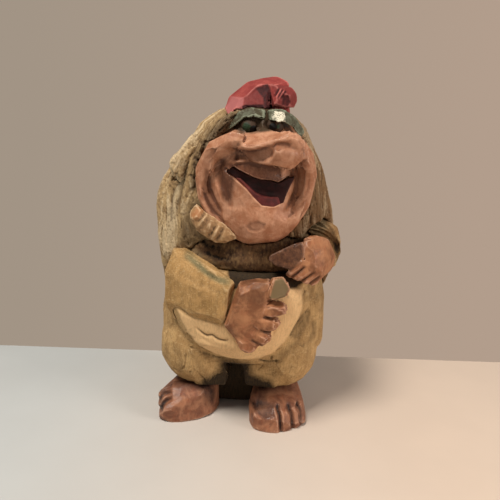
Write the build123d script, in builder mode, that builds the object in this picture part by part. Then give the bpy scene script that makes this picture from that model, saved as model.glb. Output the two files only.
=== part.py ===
from build123d import *

import os
from math import copysign, cos, pi, sin

# A laughing troll carved in wood, hands on its belly, with a red cap and a mantle of long hair.
# Sizes are in millimetres. +X is the viewer's right, -Y is the front and +Z is up.
# The origin is on the floor under the middle of the figure.
# "Right" and "left" in the names of pieces are the troll's own, so its right hand is at -X.

# Trousers
trousers_width = 90.0
trousers_depth = 68.0
trousers_height = 68.0
hem_height = 20.0
leg_width = 34.0
leg_depth = 44.0
leg_spread = 44.5
belly_width = 74.0
belly_depth = 30.0
belly_height = 48.0

# Chest
chest_width = 76.0
chest_depth = 56.0
chest_height = 37.0
chest_lap = 12.0

# Head
head_width = 60.0
head_depth = 60.0
head_height = 67.0
chin_drop = 12.0
cheek_width = 14.0
cheek_thickness = 12.0
nose_length = 31.0
nose_depth = 20.0
nose_height = 20.0
bridge_width = 8.0
mouth_width = 32.5
mouth_height = 17.0
mouth_depth = 9.0
mouth_lining_thickness = 3.0
lip_thickness = 1.5
upper_lip_setback = 2.8
eye_diameter = 8.5
eye_spread = 14.4
eye_setback = 12.0
brow_width = 7.0
brow_thickness = 6.0

# Hair
hair_width = 102.0
hair_depth = 68.0
hair_height = 103.0
hair_setback = 8.0
hair_gouge = 2.0
ear_lock_width = 10.0
ear_lock_thickness = 9.0
hair_groove_width = 4.0
tuft_width = 13.0
tuft_thickness = 12.0

# Cap
cap_width = 37.0
cap_depth = 40.0
cap_height = 21.5
cap_lap = 5.5
cap_tip_width = 11.0
cap_tip_thickness = 10.0

# Sleeves and hands
sleeve_width = 40.0
sleeve_thickness = 20.0
cuff_width = 25.0
hand_width = 25.0
hand_thickness = 10.0
finger_length = 14.5
finger_thickness = 6.4
thumb_length = 18.0
thumb_thickness = 9.0

# Feet
foot_length = 41.0
foot_width = 32.0
foot_stagger = 7.5
foot_turn_right = 28.0
foot_turn_left = 4.0
big_toe_width = 13.0
toe_width = 6.2

# Knife facets round each kind of piece
body_facets = 18
head_facets = 18
cap_facets = 9
limb_facets = 8
groove_facets = 6
hair_locks = 16

# Heights at which the pieces stack up
waist_z = hem_height + trousers_height
shoulder_z = waist_z + chest_height - chest_lap
chin_z = shoulder_z - chin_drop
crown_z = chin_z + head_height
cap_foot_z = crown_z - cap_lap
hair_top_z = crown_z + cap_lap / 5
hair_bottom_z = hair_top_z - hair_height

# Directions in which the width of a limb lies
sideways = (1, 0, 0)
endways = (0, 1, 0)
upright = (0, 0, 1)

# Each row of a ring table is a ring: its height, then its reach to -X, +X, the front and the
# back, as shares of the height, width and depth of the piece.
TROUSER_RING_shares = (
    (0.17, 0.300, 0.280, 0.260, 0.300),
    (0.22, 0.470, 0.445, 0.400, 0.400),
    (0.32, 0.515, 0.488, 0.450, 0.440),
    (0.48, 0.527, 0.488, 0.470, 0.460),
    (0.68, 0.515, 0.482, 0.455, 0.460),
    (0.85, 0.480, 0.460, 0.410, 0.440),
    (1.00, 0.420, 0.420, 0.320, 0.380),
)
# The rings of a leg reach inwards, outwards, forwards and back.
LEG_RING_shares = (
    (0.00, 0.51, 0.46, 0.46, 0.44),
    (0.04, 0.55, 0.53, 0.52, 0.50),
    (0.10, 0.57, 0.60, 0.58, 0.56),
    (0.18, 0.58, 0.65, 0.62, 0.62),
    (0.32, 0.58, 0.65, 0.64, 0.64),
    (0.50, 0.48, 0.55, 0.52, 0.52),
)
BELLY_RING_shares = (
    (0.00, 0.12, 0.14, 0.20, 0.30),
    (0.05, 0.29, 0.24, 0.42, 0.50),
    (0.20, 0.46, 0.34, 0.55, 0.50),
    (0.50, 0.54, 0.43, 0.60, 0.50),
    (0.75, 0.54, 0.45, 0.57, 0.50),
    (1.00, 0.46, 0.42, 0.40, 0.50),
)
CHEST_RING_shares = (
    (0.00, 0.480, 0.480, 0.48, 0.42),
    (0.40, 0.500, 0.500, 0.54, 0.46),
    (0.75, 0.440, 0.460, 0.46, 0.43),
    (1.00, 0.290, 0.320, 0.30, 0.32),
)
HEAD_RING_shares = (
    (0.000, 0.10, 0.19, 0.42, 0.05),
    (0.040, 0.27, 0.33, 0.50, 0.18),
    (0.160, 0.40, 0.43, 0.57, 0.27),
    (0.310, 0.48, 0.49, 0.61, 0.32),
    (0.470, 0.50, 0.50, 0.62, 0.34),
    (0.620, 0.48, 0.48, 0.60, 0.34),
    (0.740, 0.42, 0.45, 0.56, 0.33),
    (0.800, 0.36, 0.40, 0.50, 0.33),
    (0.840, 0.31, 0.34, 0.42, 0.32),
    (0.930, 0.28, 0.28, 0.38, 0.29),
    (1.000, 0.18, 0.20, 0.26, 0.20),
)
HAIR_RING_shares = (
    (0.000, 0.455, 0.400, 0.240, 0.480),
    (0.060, 0.480, 0.440, 0.300, 0.500),
    (0.220, 0.500, 0.475, 0.450, 0.510),
    (0.370, 0.503, 0.455, 0.480, 0.510),
    (0.490, 0.500, 0.435, 0.480, 0.510),
    (0.590, 0.483, 0.405, 0.480, 0.500),
    (0.705, 0.435, 0.365, 0.480, 0.475),
    (0.800, 0.365, 0.310, 0.470, 0.430),
    (0.900, 0.295, 0.245, 0.430, 0.370),
    (0.965, 0.205, 0.175, 0.340, 0.290),
    (1.000, 0.110, 0.110, 0.220, 0.200),
)
CAP_RING_shares = (
    (0.00, 0.50, 0.50, 0.40, 0.60),
    (0.22, 0.47, 0.49, 0.38, 0.57),
    (0.50, 0.35, 0.43, 0.32, 0.46),
    (0.78, 0.16, 0.33, 0.22, 0.30),
    (1.00, -0.03, 0.20, 0.08, 0.12),
)
FOOT_RING_shares = (
    (-0.10, 0.42, 0.40, 0.42, 0.30),
    (0.00, 0.45, 0.42, 0.46, 0.32),
    (0.25, 0.48, 0.46, 0.50, 0.34),
    (0.50, 0.46, 0.45, 0.47, 0.34),
    (0.75, 0.43, 0.43, 0.42, 0.34),
    (1.15, 0.40, 0.40, 0.32, 0.34),
)

# Each row of a limb table is a place on the piece that carries the limb, in shares of the
# carrier's sizes, and then half the limb's width and half its thickness there, in shares of its own.
RIGHT_CHEEK_shares = (
    (-0.180, 0.470, 0.765, 0.25, 0.28),
    (-0.310, 0.400, 0.690, 0.46, 0.48),
    (-0.375, 0.350, 0.540, 0.50, 0.50),
    (-0.370, 0.350, 0.360, 0.48, 0.48),
    (-0.270, 0.400, 0.180, 0.38, 0.40),
    (-0.150, 0.430, 0.080, 0.20, 0.24),
)
LEFT_CHEEK_shares = (
    (0.380, 0.350, 0.680, 0.30, 0.35),
    (0.385, 0.340, 0.520, 0.44, 0.48),
    (0.360, 0.360, 0.340, 0.44, 0.48),
    (0.280, 0.410, 0.170, 0.34, 0.38),
    (0.190, 0.440, 0.070, 0.18, 0.20),
)
# Along the nose, from its wing at -X to its drooping end at +X
NOSE_shares = (
    (-0.53, 0.04, -0.02, 0.18, 0.18),
    (-0.38, 0.00, 0.06, 0.32, 0.32),
    (-0.10, 0.00, 0.10, 0.43, 0.42),
    (0.18, 0.00, 0.00, 0.52, 0.50),
    (0.36, 0.02, -0.06, 0.46, 0.42),
    (0.47, 0.06, -0.06, 0.24, 0.22),
)
BRIDGE_shares = (
    (0.045, 0.330, 0.950, 0.40, 0.50),
    (0.050, 0.400, 0.880, 0.50, 0.60),
    (0.070, 0.480, 0.790, 0.60, 0.70),
)
RIGHT_BROW_shares = (
    (-0.200, 0.350, 0.875, 0.35, 0.40),
    (-0.120, 0.400, 0.945, 0.50, 0.50),
    (0.000, 0.420, 0.985, 0.50, 0.50),
    (0.060, 0.415, 0.950, 0.40, 0.40),
)
LEFT_BROW_shares = (
    (0.110, 0.415, 0.955, 0.40, 0.40),
    (0.200, 0.410, 0.975, 0.50, 0.50),
    (0.300, 0.370, 0.935, 0.50, 0.50),
    (0.370, 0.310, 0.850, 0.35, 0.40),
)
JAW_TUFT_shares = (
    (-0.465, 0.390, 0.205, 0.22, 0.25),
    (-0.425, 0.420, 0.165, 0.45, 0.45),
    (-0.290, 0.460, 0.105, 0.50, 0.50),
    (-0.130, 0.480, 0.065, 0.32, 0.38),
)
EAR_LOCK_shares = (
    (-0.545, 0.130, 0.760, 0.35, 0.40),
    (-0.600, 0.190, 0.680, 0.52, 0.52),
    (-0.640, 0.245, 0.590, 0.55, 0.55),
    (-0.645, 0.275, 0.520, 0.42, 0.42),
    (-0.620, 0.285, 0.450, 0.18, 0.18),
)
# Gouge grooves down the mantle, in shares of the hair's sizes: beside the brow, under the lock,
# along the outer layer, over the right shoulder, down the back and beside the left cheek.
HAIR_GROOVE_shares = (
    ((-0.090, 0.365, 0.960, 0.30), (-0.165, 0.395, 0.910, 0.60), (-0.225, 0.390, 0.820, 0.55),
     (-0.262, 0.370, 0.740, 0.25)),
    ((-0.350, 0.420, 0.615, 0.30), (-0.400, 0.330, 0.590, 0.80), (-0.455, 0.180, 0.600, 0.40)),
    ((-0.425, 0.220, 0.620, 0.30), (-0.462, 0.240, 0.520, 0.60), (-0.462, 0.260, 0.400, 0.60),
     (-0.440, 0.270, 0.240, 0.35)),
    ((-0.330, 0.370, 0.580, 0.30), (-0.360, 0.400, 0.460, 0.50), (-0.385, 0.370, 0.330, 0.50),
     (-0.400, 0.330, 0.200, 0.30)),
    ((-0.505, -0.120, 0.560, 0.30), (-0.525, -0.140, 0.400, 0.60), (-0.510, -0.130, 0.120, 0.35)),
    ((-0.280, -0.560, 0.700, 0.30), (-0.345, -0.590, 0.460, 0.65), (-0.310, -0.580, 0.100, 0.35)),
    ((0.020, -0.560, 0.840, 0.30), (-0.040, -0.635, 0.560, 0.65), (0.020, -0.640, 0.120, 0.35)),
    ((0.230, -0.540, 0.700, 0.30), (0.310, -0.560, 0.460, 0.65), (0.260, -0.600, 0.140, 0.35)),
    ((0.430, -0.160, 0.620, 0.30), (0.462, -0.180, 0.460, 0.60), (0.478, -0.160, 0.300, 0.35)),
    ((0.270, 0.350, 0.760, 0.25), (0.325, 0.350, 0.640, 0.50), (0.372, 0.320, 0.520, 0.30)),
)
CAP_TIP_shares = (
    (0.20, 0.14, 0.80, 0.38, 0.40),
    (0.33, 0.28, 0.76, 0.48, 0.48),
    (0.40, 0.36, 0.52, 0.50, 0.50),
    (0.34, 0.39, 0.24, 0.28, 0.30),
)
RIGHT_SLEEVE_shares = (
    (-0.430, 0.060, 0.760, 0.45, 0.38),
    (-0.395, 0.280, 0.810, 0.52, 0.46),
    (-0.250, 0.430, 0.780, 0.44, 0.44),
    (-0.105, 0.515, 0.745, 0.32, 0.32),
)
LEFT_SLEEVE_shares = (
    (0.340, 0.030, 1.270, 0.40, 0.46),
    (0.410, 0.130, 1.210, 0.50, 0.60),
    (0.440, 0.190, 1.090, 0.46, 0.56),
    (0.440, 0.230, 0.990, 0.30, 0.38),
)
RIGHT_PALM_shares = (
    (-0.130, 0.520, 0.745, 0.46, 0.45),
    (-0.030, 0.550, 0.730, 0.55, 0.50),
    (0.070, 0.560, 0.700, 0.46, 0.45),
)
LEFT_PALM_shares = (
    (0.430, 0.200, 1.200, 0.38, 0.70),
    (0.410, 0.320, 1.130, 0.48, 0.80),
    (0.370, 0.420, 1.040, 0.40, 0.60),
)
# Each finger: its knuckle on the belly, then how far its tip lies to +X, the front and up, in
# shares of its length.
RIGHT_FINGER_shares = (
    (0.060, 0.585, 0.780, 0.95, -0.14, -0.21),
    (0.050, 0.590, 0.690, 0.79, -0.10, -0.34),
    (0.020, 0.585, 0.600, 0.70, -0.08, -0.36),
    (-0.040, 0.575, 0.535, 0.57, -0.10, -0.41),
)
LEFT_FINGER_shares = (
    (0.340, 0.500, 1.110, -0.86, 0.10, -0.53),
    (0.375, 0.480, 1.065, -0.67, 0.14, -0.53),
    (0.410, 0.440, 1.020, -0.57, 0.20, -0.49),
    (0.450, 0.380, 1.000, -0.51, 0.29, -0.46),
)
LEFT_THUMB_shares = (0.330, 0.400, 1.190, -0.98, 0.15, -0.31)
RIGHT_THUMB_shares = (0.060, 0.560, 0.800, 0.68, 0.02, 0.52)
# Along a finger or a toe: how far on it is, and its half thickness there.
DIGIT_shares = ((0.00, 0.50), (0.55, 0.54), (0.88, 0.40), (1.00, 0.20))
# Each toe: its root and its tip, across and along the foot, and its height at the root.
BIG_TOE_shares = (-0.21, 0.20, -0.23, 0.69, 0.86)
SMALL_TOE_shares = (
    (0.07, 0.30, 0.10, 0.70, 0.62),
    (0.22, 0.28, 0.27, 0.64, 0.58),
    (0.34, 0.20, 0.42, 0.52, 0.52),
)

# Corners of the open mouth, from its corner at -X along the upper lip and back along the lower,
# and of the lower lip, in shares of the mouth's width and height.
MOUTH_OUTLINE_shares = (
    (-0.50, 0.40),
    (-0.31, 0.35),
    (-0.12, 0.20),
    (0.17, 0.14),
    (0.39, 0.20),
    (0.50, 0.26),
    (0.44, 0.00),
    (0.35, -0.30),
    (0.15, -0.32),
    (-0.01, -0.22),
    (-0.30, 0.11),
)
LOWER_LIP_shares = (
    (-0.30, 0.11),
    (-0.01, -0.22),
    (0.15, -0.32),
    (0.35, -0.30),
    (0.44, 0.00),
    (0.43, -0.16),
    (0.36, -0.48),
    (0.21, -0.57),
    (0.04, -0.51),
    (-0.19, -0.12),
)
# Corners of the plane between the nose and the mouth, in the same shares, and of the plane under
# the wing of the nose, in shares of the nose's length and height.
UPPER_LIP_shares = (
    (-0.45, 0.47),
    (-0.37, 0.66),
    (-0.21, 0.72),
    (0.15, 0.66),
    (0.34, 0.59),
    (0.51, 0.54),
    (0.53, 0.27),
    (0.28, 0.00),
    (-0.11, 0.15),
    (-0.34, 0.32),
)
WING_PLANE_shares = (
    (-0.58, -0.08),
    (-0.36, -0.12),
    (-0.20, -0.07),
    (0.03, 0.07),
    (0.00, -0.20),
    (-0.14, -0.36),
    (-0.46, -0.38),
    (-0.60, -0.36),
)
# Where the mantle's lower edge is cut, from the long side at -X to the short one at +X, and
# where its front is cut away over the left arm.
HAIR_HEM_shares = ((-0.34, -0.03), (0.00, 0.02), (0.28, 0.14), (0.40, 0.30), (0.60, 0.40))
HAIR_FRONT_CUT_shares = ((0.20, -0.03), (0.20, 0.34), (0.30, 0.40), (0.60, 0.44), (0.60, -0.03))
hair_fullness_share = 0.8

# Places of features on the pieces that carry them
belly_foot_share = 0.27
mouth_centre_share = (0.050, 0.450)
mouth_front_share = 0.61
nose_centre_share = (0.140, 0.530, 0.740)
wing_plane_share = 0.27
eye_centre_share = (0.045, 0.875)
right_leg_share = 0.575
heel_share = 0.025


def ring_corners(left, right, front, back, sides, fullness=1.0, gouge=0.0):
    """Corners of a knife-cut ring, from its reach to each side. Under 1 its fullness makes it
    squarer, and every second corner is cut in by the gouge."""
    centre_x, centre_y = (right - left) / 2, (back - front) / 2
    radius_x, radius_y = (left + right) / 2, (front + back) / 2
    corners = []
    for side in range(sides):
        turn = 2 * pi * (side + 0.5) / sides
        cut = gouge * (side % 2)
        corners.append((
            centre_x + (radius_x - cut) * copysign(abs(cos(turn)) ** fullness, cos(turn)),
            centre_y + (radius_y - cut) * copysign(abs(sin(turn)) ** fullness, sin(turn)),
        ))
    return corners


def upright_blank(rings, width, depth, height, foot, sides, axis=(0, 0), fullness=1.0, gouge=0.0):
    """A blank whittled upright: flat facets between rings at rising heights above its foot."""
    with BuildPart() as blank:
        for rise, left, right, front, back in rings:
            reach = (left * width, right * width, front * depth, back * depth)
            corners = ring_corners(*reach, sides, fullness, gouge)
            with BuildSketch(Plane.XY.offset(foot + rise * height)):
                with BuildLine():
                    Polyline([(axis[0] + x, axis[1] + y) for x, y in corners], close=True)
                make_face()
        loft(ruled=True)
    return blank.part


def limb_blank(stations, across, sides=limb_facets):
    """A blank whittled along a bent line of (centre, half width, half thickness) stations."""
    centres = [Vector(*station[0]) for station in stations]
    with BuildPart() as blank:
        for place, (centre, half_width, half_thickness) in enumerate(stations):
            ahead = centres[min(place + 1, len(centres) - 1)]
            behind = centres[max(place - 1, 0)]
            along = (ahead - behind).normalized()
            width_way = (Vector(*across) - along * along.dot(Vector(*across))).normalized()
            section = Plane(origin=Vector(*centre), x_dir=width_way, z_dir=along)
            reach = (half_width, half_width, half_thickness, half_thickness)
            with BuildSketch(section):
                with BuildLine():
                    Polyline(ring_corners(*reach, sides), close=True)
                make_face()
        loft(ruled=True)
    return blank.part


def limb(rows, at, width, thickness, across, sides=limb_facets):
    """A limb from the rows of its table, on a carrier whose places the function at gives."""
    return limb_blank([(at(*row[:3]), row[3] * width, row[4] * thickness) for row in rows], across, sides)


def digit(root, tip, width, thickness, across=upright):
    """A finger or a toe from its knuckle to its tip."""
    root, tip = Vector(*root), Vector(*tip)
    stations = [
        (tuple(root + (tip - root) * along), half * width, half * thickness) for along, half in DIGIT_shares
    ]
    return limb_blank(stations, across)


def at_head(across, front, up):
    """A place in shares of the head's width, its depth in front of the axis, and its height."""
    return (across * head_width, -front * head_depth, chin_z + up * head_height)


def at_nose(across, back, up):
    """A place in shares of the nose's length, depth and height from its middle."""
    centre_x, centre_y, centre_z = at_head(*nose_centre_share)
    return (centre_x + across * nose_length, centre_y + back * nose_depth, centre_z + up * nose_height)


def at_hair(across, front, up):
    """A place in shares of the hair's width, depth and height."""
    return (across * hair_width, -front * hair_depth, hair_bottom_z + up * hair_height)


def at_belly(across, front, up):
    """A place in shares of the trousers' width, depth and height."""
    return (across * trousers_width, -front * trousers_depth, hem_height + up * trousers_height)


def at_cap(across, front, up):
    """A place in shares of the cap's width, depth and height."""
    return (across * cap_width, -front * cap_depth, cap_foot_z + up * cap_height)


def mouth_outline(shares):
    """Corners of an outline in the plane of the mouth."""
    centre_x = mouth_centre_share[0] * head_width
    centre_z = chin_z + mouth_centre_share[1] * head_height
    return [(centre_x + x * mouth_width, centre_z + z * mouth_height) for x, z in shares]


def fingers(rows, length, thickness):
    """Fingers that lie on the belly, from the rows of their table."""
    made = []
    for *knuckle, out, forward, up in rows:
        root = Vector(*at_belly(*knuckle))
        tip = root + Vector(out, -forward, up) * length
        made.append(digit(tuple(root), tuple(tip), thickness, thickness))
    return made


def foot(ankle_x, ankle_y, turn, mirrored):
    """A short broad foot with a big toe at -X and three small toes, cut flat underneath."""
    toes = [(BIG_TOE_shares, big_toe_width)]
    toes += [(row, toe_width) for row in SMALL_TOE_shares]
    with BuildPart() as made:
        add(upright_blank(FOOT_RING_shares, foot_width, foot_length, hem_height, 0, limb_facets * 2))
        for (root_x, root_y, tip_x, tip_y, rise), width in toes:
            height = rise * hem_height
            root = (root_x * foot_width, -root_y * foot_length, height / 2)
            tip = (tip_x * foot_width, -tip_y * foot_length, height / 3)
            add(digit(root, tip, width, height, sideways))
        split(bisect_by=Plane.XY, keep=Keep.TOP)
    turned = made.part.mirror(Plane.YZ) if mirrored else made.part
    with BuildPart() as placed:
        with Locations(Location((ankle_x, ankle_y, 0), (0, 0, turn))):
            add(turned)
        add(trousers.part, mode=Mode.SUBTRACT)
    return placed


# Trousers: two short legs, the seat and the belly that hangs over them
right_leg_x = -leg_spread * right_leg_share
left_leg_x = right_leg_x + leg_spread
belly_foot_z = hem_height + trousers_height * belly_foot_share
belly_axis = (0, (belly_depth - trousers_depth) / 2)
with BuildPart() as trousers:
    add(upright_blank(
        TROUSER_RING_shares, trousers_width, trousers_depth, trousers_height, hem_height, body_facets,
    ))
    for leg_x in (right_leg_x, left_leg_x):
        leg_rings = LEG_RING_shares
        if leg_x < 0:
            leg_rings = [(rise, outer, inner, front, back) for rise, inner, outer, front, back in leg_rings]
        add(upright_blank(
            leg_rings, leg_width, leg_depth, trousers_height, hem_height, body_facets, (leg_x, 0),
        ))
    add(upright_blank(
        BELLY_RING_shares, belly_width, belly_depth, belly_height, belly_foot_z, body_facets, belly_axis,
    ))
trousers.part.label = "trousers"

heel_y = -heel_share * foot_length
right_foot = foot(right_leg_x, heel_y, -foot_turn_right, True)
right_foot.part.label = "right_foot"
left_foot = foot(left_leg_x, heel_y - foot_stagger, foot_turn_left, False)
left_foot.part.label = "left_foot"

# Chest: the dark furry shirt between the chin and the hands
with BuildPart() as chest:
    add(upright_blank(
        CHEST_RING_shares, chest_width, chest_depth, chest_height, waist_z - chest_lap, body_facets,
    ))
    add(trousers.part, mode=Mode.SUBTRACT)
chest.part.label = "chest"

# Head: round cheeks and chin below the eyes, a heavy nose and an open laughing mouth
mouth_front_y = -mouth_front_share * head_depth
mouth_floor_y = mouth_front_y + mouth_depth
with BuildPart() as mouth_hollow:
    with BuildSketch(Plane.XZ.offset(-mouth_floor_y)):
        with BuildLine():
            Polyline(mouth_outline(MOUTH_OUTLINE_shares), close=True)
        make_face()
    extrude(amount=mouth_depth * 2)

eye_x, eye_z = eye_centre_share[0] * head_width, chin_z + eye_centre_share[1] * head_height
eye_y = mouth_front_y + eye_setback + eye_diameter / 4
eye_places = {
    "right_eye": (eye_x - eye_spread / 2, eye_y, eye_z),
    "left_eye": (eye_x + eye_spread / 2, eye_y, eye_z),
}

with BuildPart() as head:
    add(upright_blank(HEAD_RING_shares, head_width, head_depth, head_height, chin_z, head_facets))
    add(limb(RIGHT_CHEEK_shares, at_head, cheek_width, cheek_thickness, sideways))
    add(limb(LEFT_CHEEK_shares, at_head, cheek_width, cheek_thickness, sideways))
    add(limb(BRIDGE_shares, at_head, bridge_width, bridge_width, sideways))
    add(limb(NOSE_shares, at_nose, nose_height, nose_depth, upright))
    # Planes cut back between the nose and the mouth and under the wing of the nose
    with BuildSketch(Plane.XZ.offset(-mouth_front_y - upper_lip_setback)):
        with BuildLine():
            Polyline(mouth_outline(UPPER_LIP_shares), close=True)
        make_face()
    extrude(amount=nose_depth, mode=Mode.SUBTRACT)
    wing_plane_y = at_nose(0, -wing_plane_share, 0)[1]
    with BuildSketch(Plane.XZ.offset(-wing_plane_y)):
        with BuildLine():
            Polyline([at_nose(x, 0, z)[::2] for x, z in WING_PLANE_shares], close=True)
        make_face()
    extrude(amount=nose_depth, mode=Mode.SUBTRACT)
    add(mouth_hollow.part, mode=Mode.SUBTRACT)
    with Locations(*eye_places.values()):
        Sphere(eye_diameter / 2, mode=Mode.SUBTRACT)
    add([chest.part, trousers.part], mode=Mode.SUBTRACT)
head.part.label = "head"

# Mouth: the dark lining at the bottom of the hollow and the red lower lip along its edge
with BuildPart() as mouth_lining:
    with BuildSketch(Plane.XZ.offset(-mouth_floor_y)):
        with BuildLine():
            Polyline(mouth_outline(MOUTH_OUTLINE_shares), close=True)
        make_face()
    extrude(amount=mouth_lining_thickness)
mouth_lining.part.label = "mouth_lining"

lip_width, lip_depth = head_width + 2 * lip_thickness, head_depth + 2 * lip_thickness
with BuildPart() as lower_lip:
    with BuildSketch(Plane.XZ.offset(-mouth_floor_y)):
        with BuildLine():
            Polyline(mouth_outline(LOWER_LIP_shares), close=True)
        make_face()
    extrude(amount=mouth_depth * 2)
    add(
        upright_blank(HEAD_RING_shares, lip_width, lip_depth, head_height, chin_z, head_facets),
        mode=Mode.INTERSECT,
    )
    add(head.part, mode=Mode.SUBTRACT)
lower_lip.part.label = "lower_lip"

# Eyes: glossy beads in their sockets, with the bent ridges of the brows over them
eyes = {}
for eye_name, eye_place in eye_places.items():
    with BuildPart() as eye:
        with Locations(eye_place):
            Sphere(eye_diameter / 2)
        add(head.part, mode=Mode.SUBTRACT)
    eye.part.label = eye_name
    eyes[eye_name] = eye
eye_solids = [eye.part for eye in eyes.values()]

brows = {}
for brow_name, brow_rows in (("right_brow", RIGHT_BROW_shares), ("left_brow", LEFT_BROW_shares)):
    with BuildPart() as brow:
        add(limb(brow_rows, at_head, brow_width, brow_thickness, endways))
        add([head.part, *eye_solids], mode=Mode.SUBTRACT)
    brow.part.label = brow_name
    brows[brow_name] = brow
brow_solids = [brow.part for brow in brows.values()]

# Tuft of coarse hair under the jaw at the troll's right
with BuildPart() as jaw_tuft:
    add(limb(JAW_TUFT_shares, at_head, tuft_width, tuft_thickness, upright))
    add([head.part, chest.part], mode=Mode.SUBTRACT)
jaw_tuft.part.label = "jaw_tuft"

# Right sleeve and hand, laid across the belly
with BuildPart() as right_sleeve:
    add(limb(RIGHT_SLEEVE_shares, at_belly, sleeve_width, sleeve_thickness, upright))
    add([trousers.part, chest.part, head.part], mode=Mode.SUBTRACT)
right_sleeve.part.label = "right_sleeve"

with BuildPart() as right_hand:
    add(limb(RIGHT_PALM_shares, at_belly, hand_width, hand_thickness, upright))
    add(fingers(RIGHT_FINGER_shares, finger_length, finger_thickness))
    add(fingers([RIGHT_THUMB_shares], thumb_length, thumb_thickness))
    add([trousers.part, chest.part, right_sleeve.part], mode=Mode.SUBTRACT)
right_hand.part.label = "right_hand"

# Left hand, over the top of the belly, with the rim of its sleeve round the wrist
with BuildPart() as left_hand:
    add(limb(LEFT_PALM_shares, at_belly, hand_width, hand_thickness, sideways))
    add(fingers(LEFT_FINGER_shares, finger_length, finger_thickness))
    add(fingers([LEFT_THUMB_shares], thumb_length, thumb_thickness))
    add([trousers.part, chest.part, head.part], mode=Mode.SUBTRACT)
left_hand.part.label = "left_hand"

with BuildPart() as left_sleeve:
    add(limb(LEFT_SLEEVE_shares, at_belly, cuff_width, sleeve_thickness, sideways))
    add([trousers.part, chest.part, head.part, left_hand.part], mode=Mode.SUBTRACT)
left_sleeve.part.label = "left_sleeve"

# Hair: a gouged mantle with a hollow that takes the head, the chest and the shoulders
hair_hem = [(x * hair_width, hair_bottom_z + z * hair_height) for x, z in HAIR_HEM_shares]
hair_front_cut = [(x * hair_width, hair_bottom_z + z * hair_height) for x, z in HAIR_FRONT_CUT_shares]
with BuildPart() as hair:
    add(upright_blank(
        HAIR_RING_shares, hair_width, hair_depth, hair_height, hair_bottom_z, hair_locks * 2,
        (0, hair_setback), hair_fullness_share, hair_gouge,
    ))
    # Lock that stands out like an ear on the troll's right
    add(limb(EAR_LOCK_shares, at_head, ear_lock_width, ear_lock_thickness, sideways))
    for groove in HAIR_GROOVE_shares:
        rows = [(*row, row[-1]) for row in groove]
        add(
            limb(rows, at_hair, hair_groove_width, hair_groove_width, sideways, groove_facets),
            mode=Mode.SUBTRACT,
        )
    with BuildSketch(Plane.XZ.offset(-hair_depth)):
        with BuildLine():
            hem_end, hem_start = hair_hem[-1][0], hair_hem[0][0]
            below_z = hair_bottom_z - hair_gouge
            Polyline(*hair_hem, (hem_end, below_z), (hem_start, below_z), close=True)
        make_face()
    extrude(amount=hair_depth * 2, mode=Mode.SUBTRACT)
    with BuildSketch(Plane.XZ):
        with BuildLine():
            Polyline(hair_front_cut, close=True)
        make_face()
    extrude(amount=hair_depth, mode=Mode.SUBTRACT)
    inner = [head, chest, trousers, jaw_tuft, right_sleeve, left_sleeve, left_hand]
    add([piece.part for piece in inner] + brow_solids + eye_solids, mode=Mode.SUBTRACT)
hair.part.label = "hair"

# Cap: a stocking cap in big flat facets, its end folded over to the troll's left
with BuildPart() as cap:
    add(upright_blank(CAP_RING_shares, cap_width, cap_depth, cap_height, cap_foot_z, cap_facets))
    add([hair.part, head.part, *brow_solids], mode=Mode.SUBTRACT)
cap.part.label = "cap"

with BuildPart() as cap_tip:
    add(limb(CAP_TIP_shares, at_cap, cap_tip_width, cap_tip_thickness, sideways))
    add([cap.part, hair.part, head.part, *brow_solids], mode=Mode.SUBTRACT)
cap_tip.part.label = "cap_tip"

os.makedirs("parts", exist_ok=True)
pieces = [
    trousers, right_foot, left_foot, chest, head, mouth_lining, lower_lip, *eyes.values(), *brows.values(),
    jaw_tuft, right_sleeve, left_sleeve, right_hand, left_hand, hair, cap, cap_tip,
]
for piece in pieces:
    export_step(piece.part, f"parts/{piece.part.label}.step")
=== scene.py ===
from itertools import product
from math import radians

import bmesh
import bpy
import numpy as np
import openvdb as vdb
from mathutils import Euler, Matrix, Vector


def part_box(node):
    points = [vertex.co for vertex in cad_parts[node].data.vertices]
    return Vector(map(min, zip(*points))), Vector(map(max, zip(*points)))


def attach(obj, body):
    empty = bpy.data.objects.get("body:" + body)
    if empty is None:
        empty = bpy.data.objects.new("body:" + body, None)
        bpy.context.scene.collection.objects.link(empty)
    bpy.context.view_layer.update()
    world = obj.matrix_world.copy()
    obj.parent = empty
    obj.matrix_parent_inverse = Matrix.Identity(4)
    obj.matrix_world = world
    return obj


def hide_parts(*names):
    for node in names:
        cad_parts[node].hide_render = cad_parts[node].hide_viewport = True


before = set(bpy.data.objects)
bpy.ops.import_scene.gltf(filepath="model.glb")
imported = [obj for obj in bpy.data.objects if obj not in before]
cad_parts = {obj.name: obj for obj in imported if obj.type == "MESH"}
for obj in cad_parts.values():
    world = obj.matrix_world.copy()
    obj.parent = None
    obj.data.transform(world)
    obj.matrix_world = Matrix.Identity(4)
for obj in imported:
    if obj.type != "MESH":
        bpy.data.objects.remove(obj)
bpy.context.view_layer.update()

# The forms are carved in millimetres and brought to metres when they become meshes.
# +X is the viewer's right, -Y is the front and +Z is up, with the floor at zero.
MILLIMETRE = 0.001
FINE_CELL = 0.42
PLAIN_CELL = 0.55
HAIR_CELL = 0.45
FAR = 40.0
BAND_CELLS = 3
SPLINE_STEPS = 4
# A relief fades over this depth at its limit, and a stroke over this share of its length at each end
FRONT_FADE = 5.0
STROKE_ENDS = 0.2
# A wedge begins to narrow at this share of its depth, from the front
WEDGE_STEP = 0.3
# Facets of a hull whose normals agree to so many digits are one plane
NORMAL_DIGITS = 2
SLOPE_LIMITS = (0.4, 2.5)
# A blur of fewer cells than this is left out, and its weights reach so many times its size
LEAST_BLUR = 0.3
BLUR_REACH = 2.5
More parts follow.
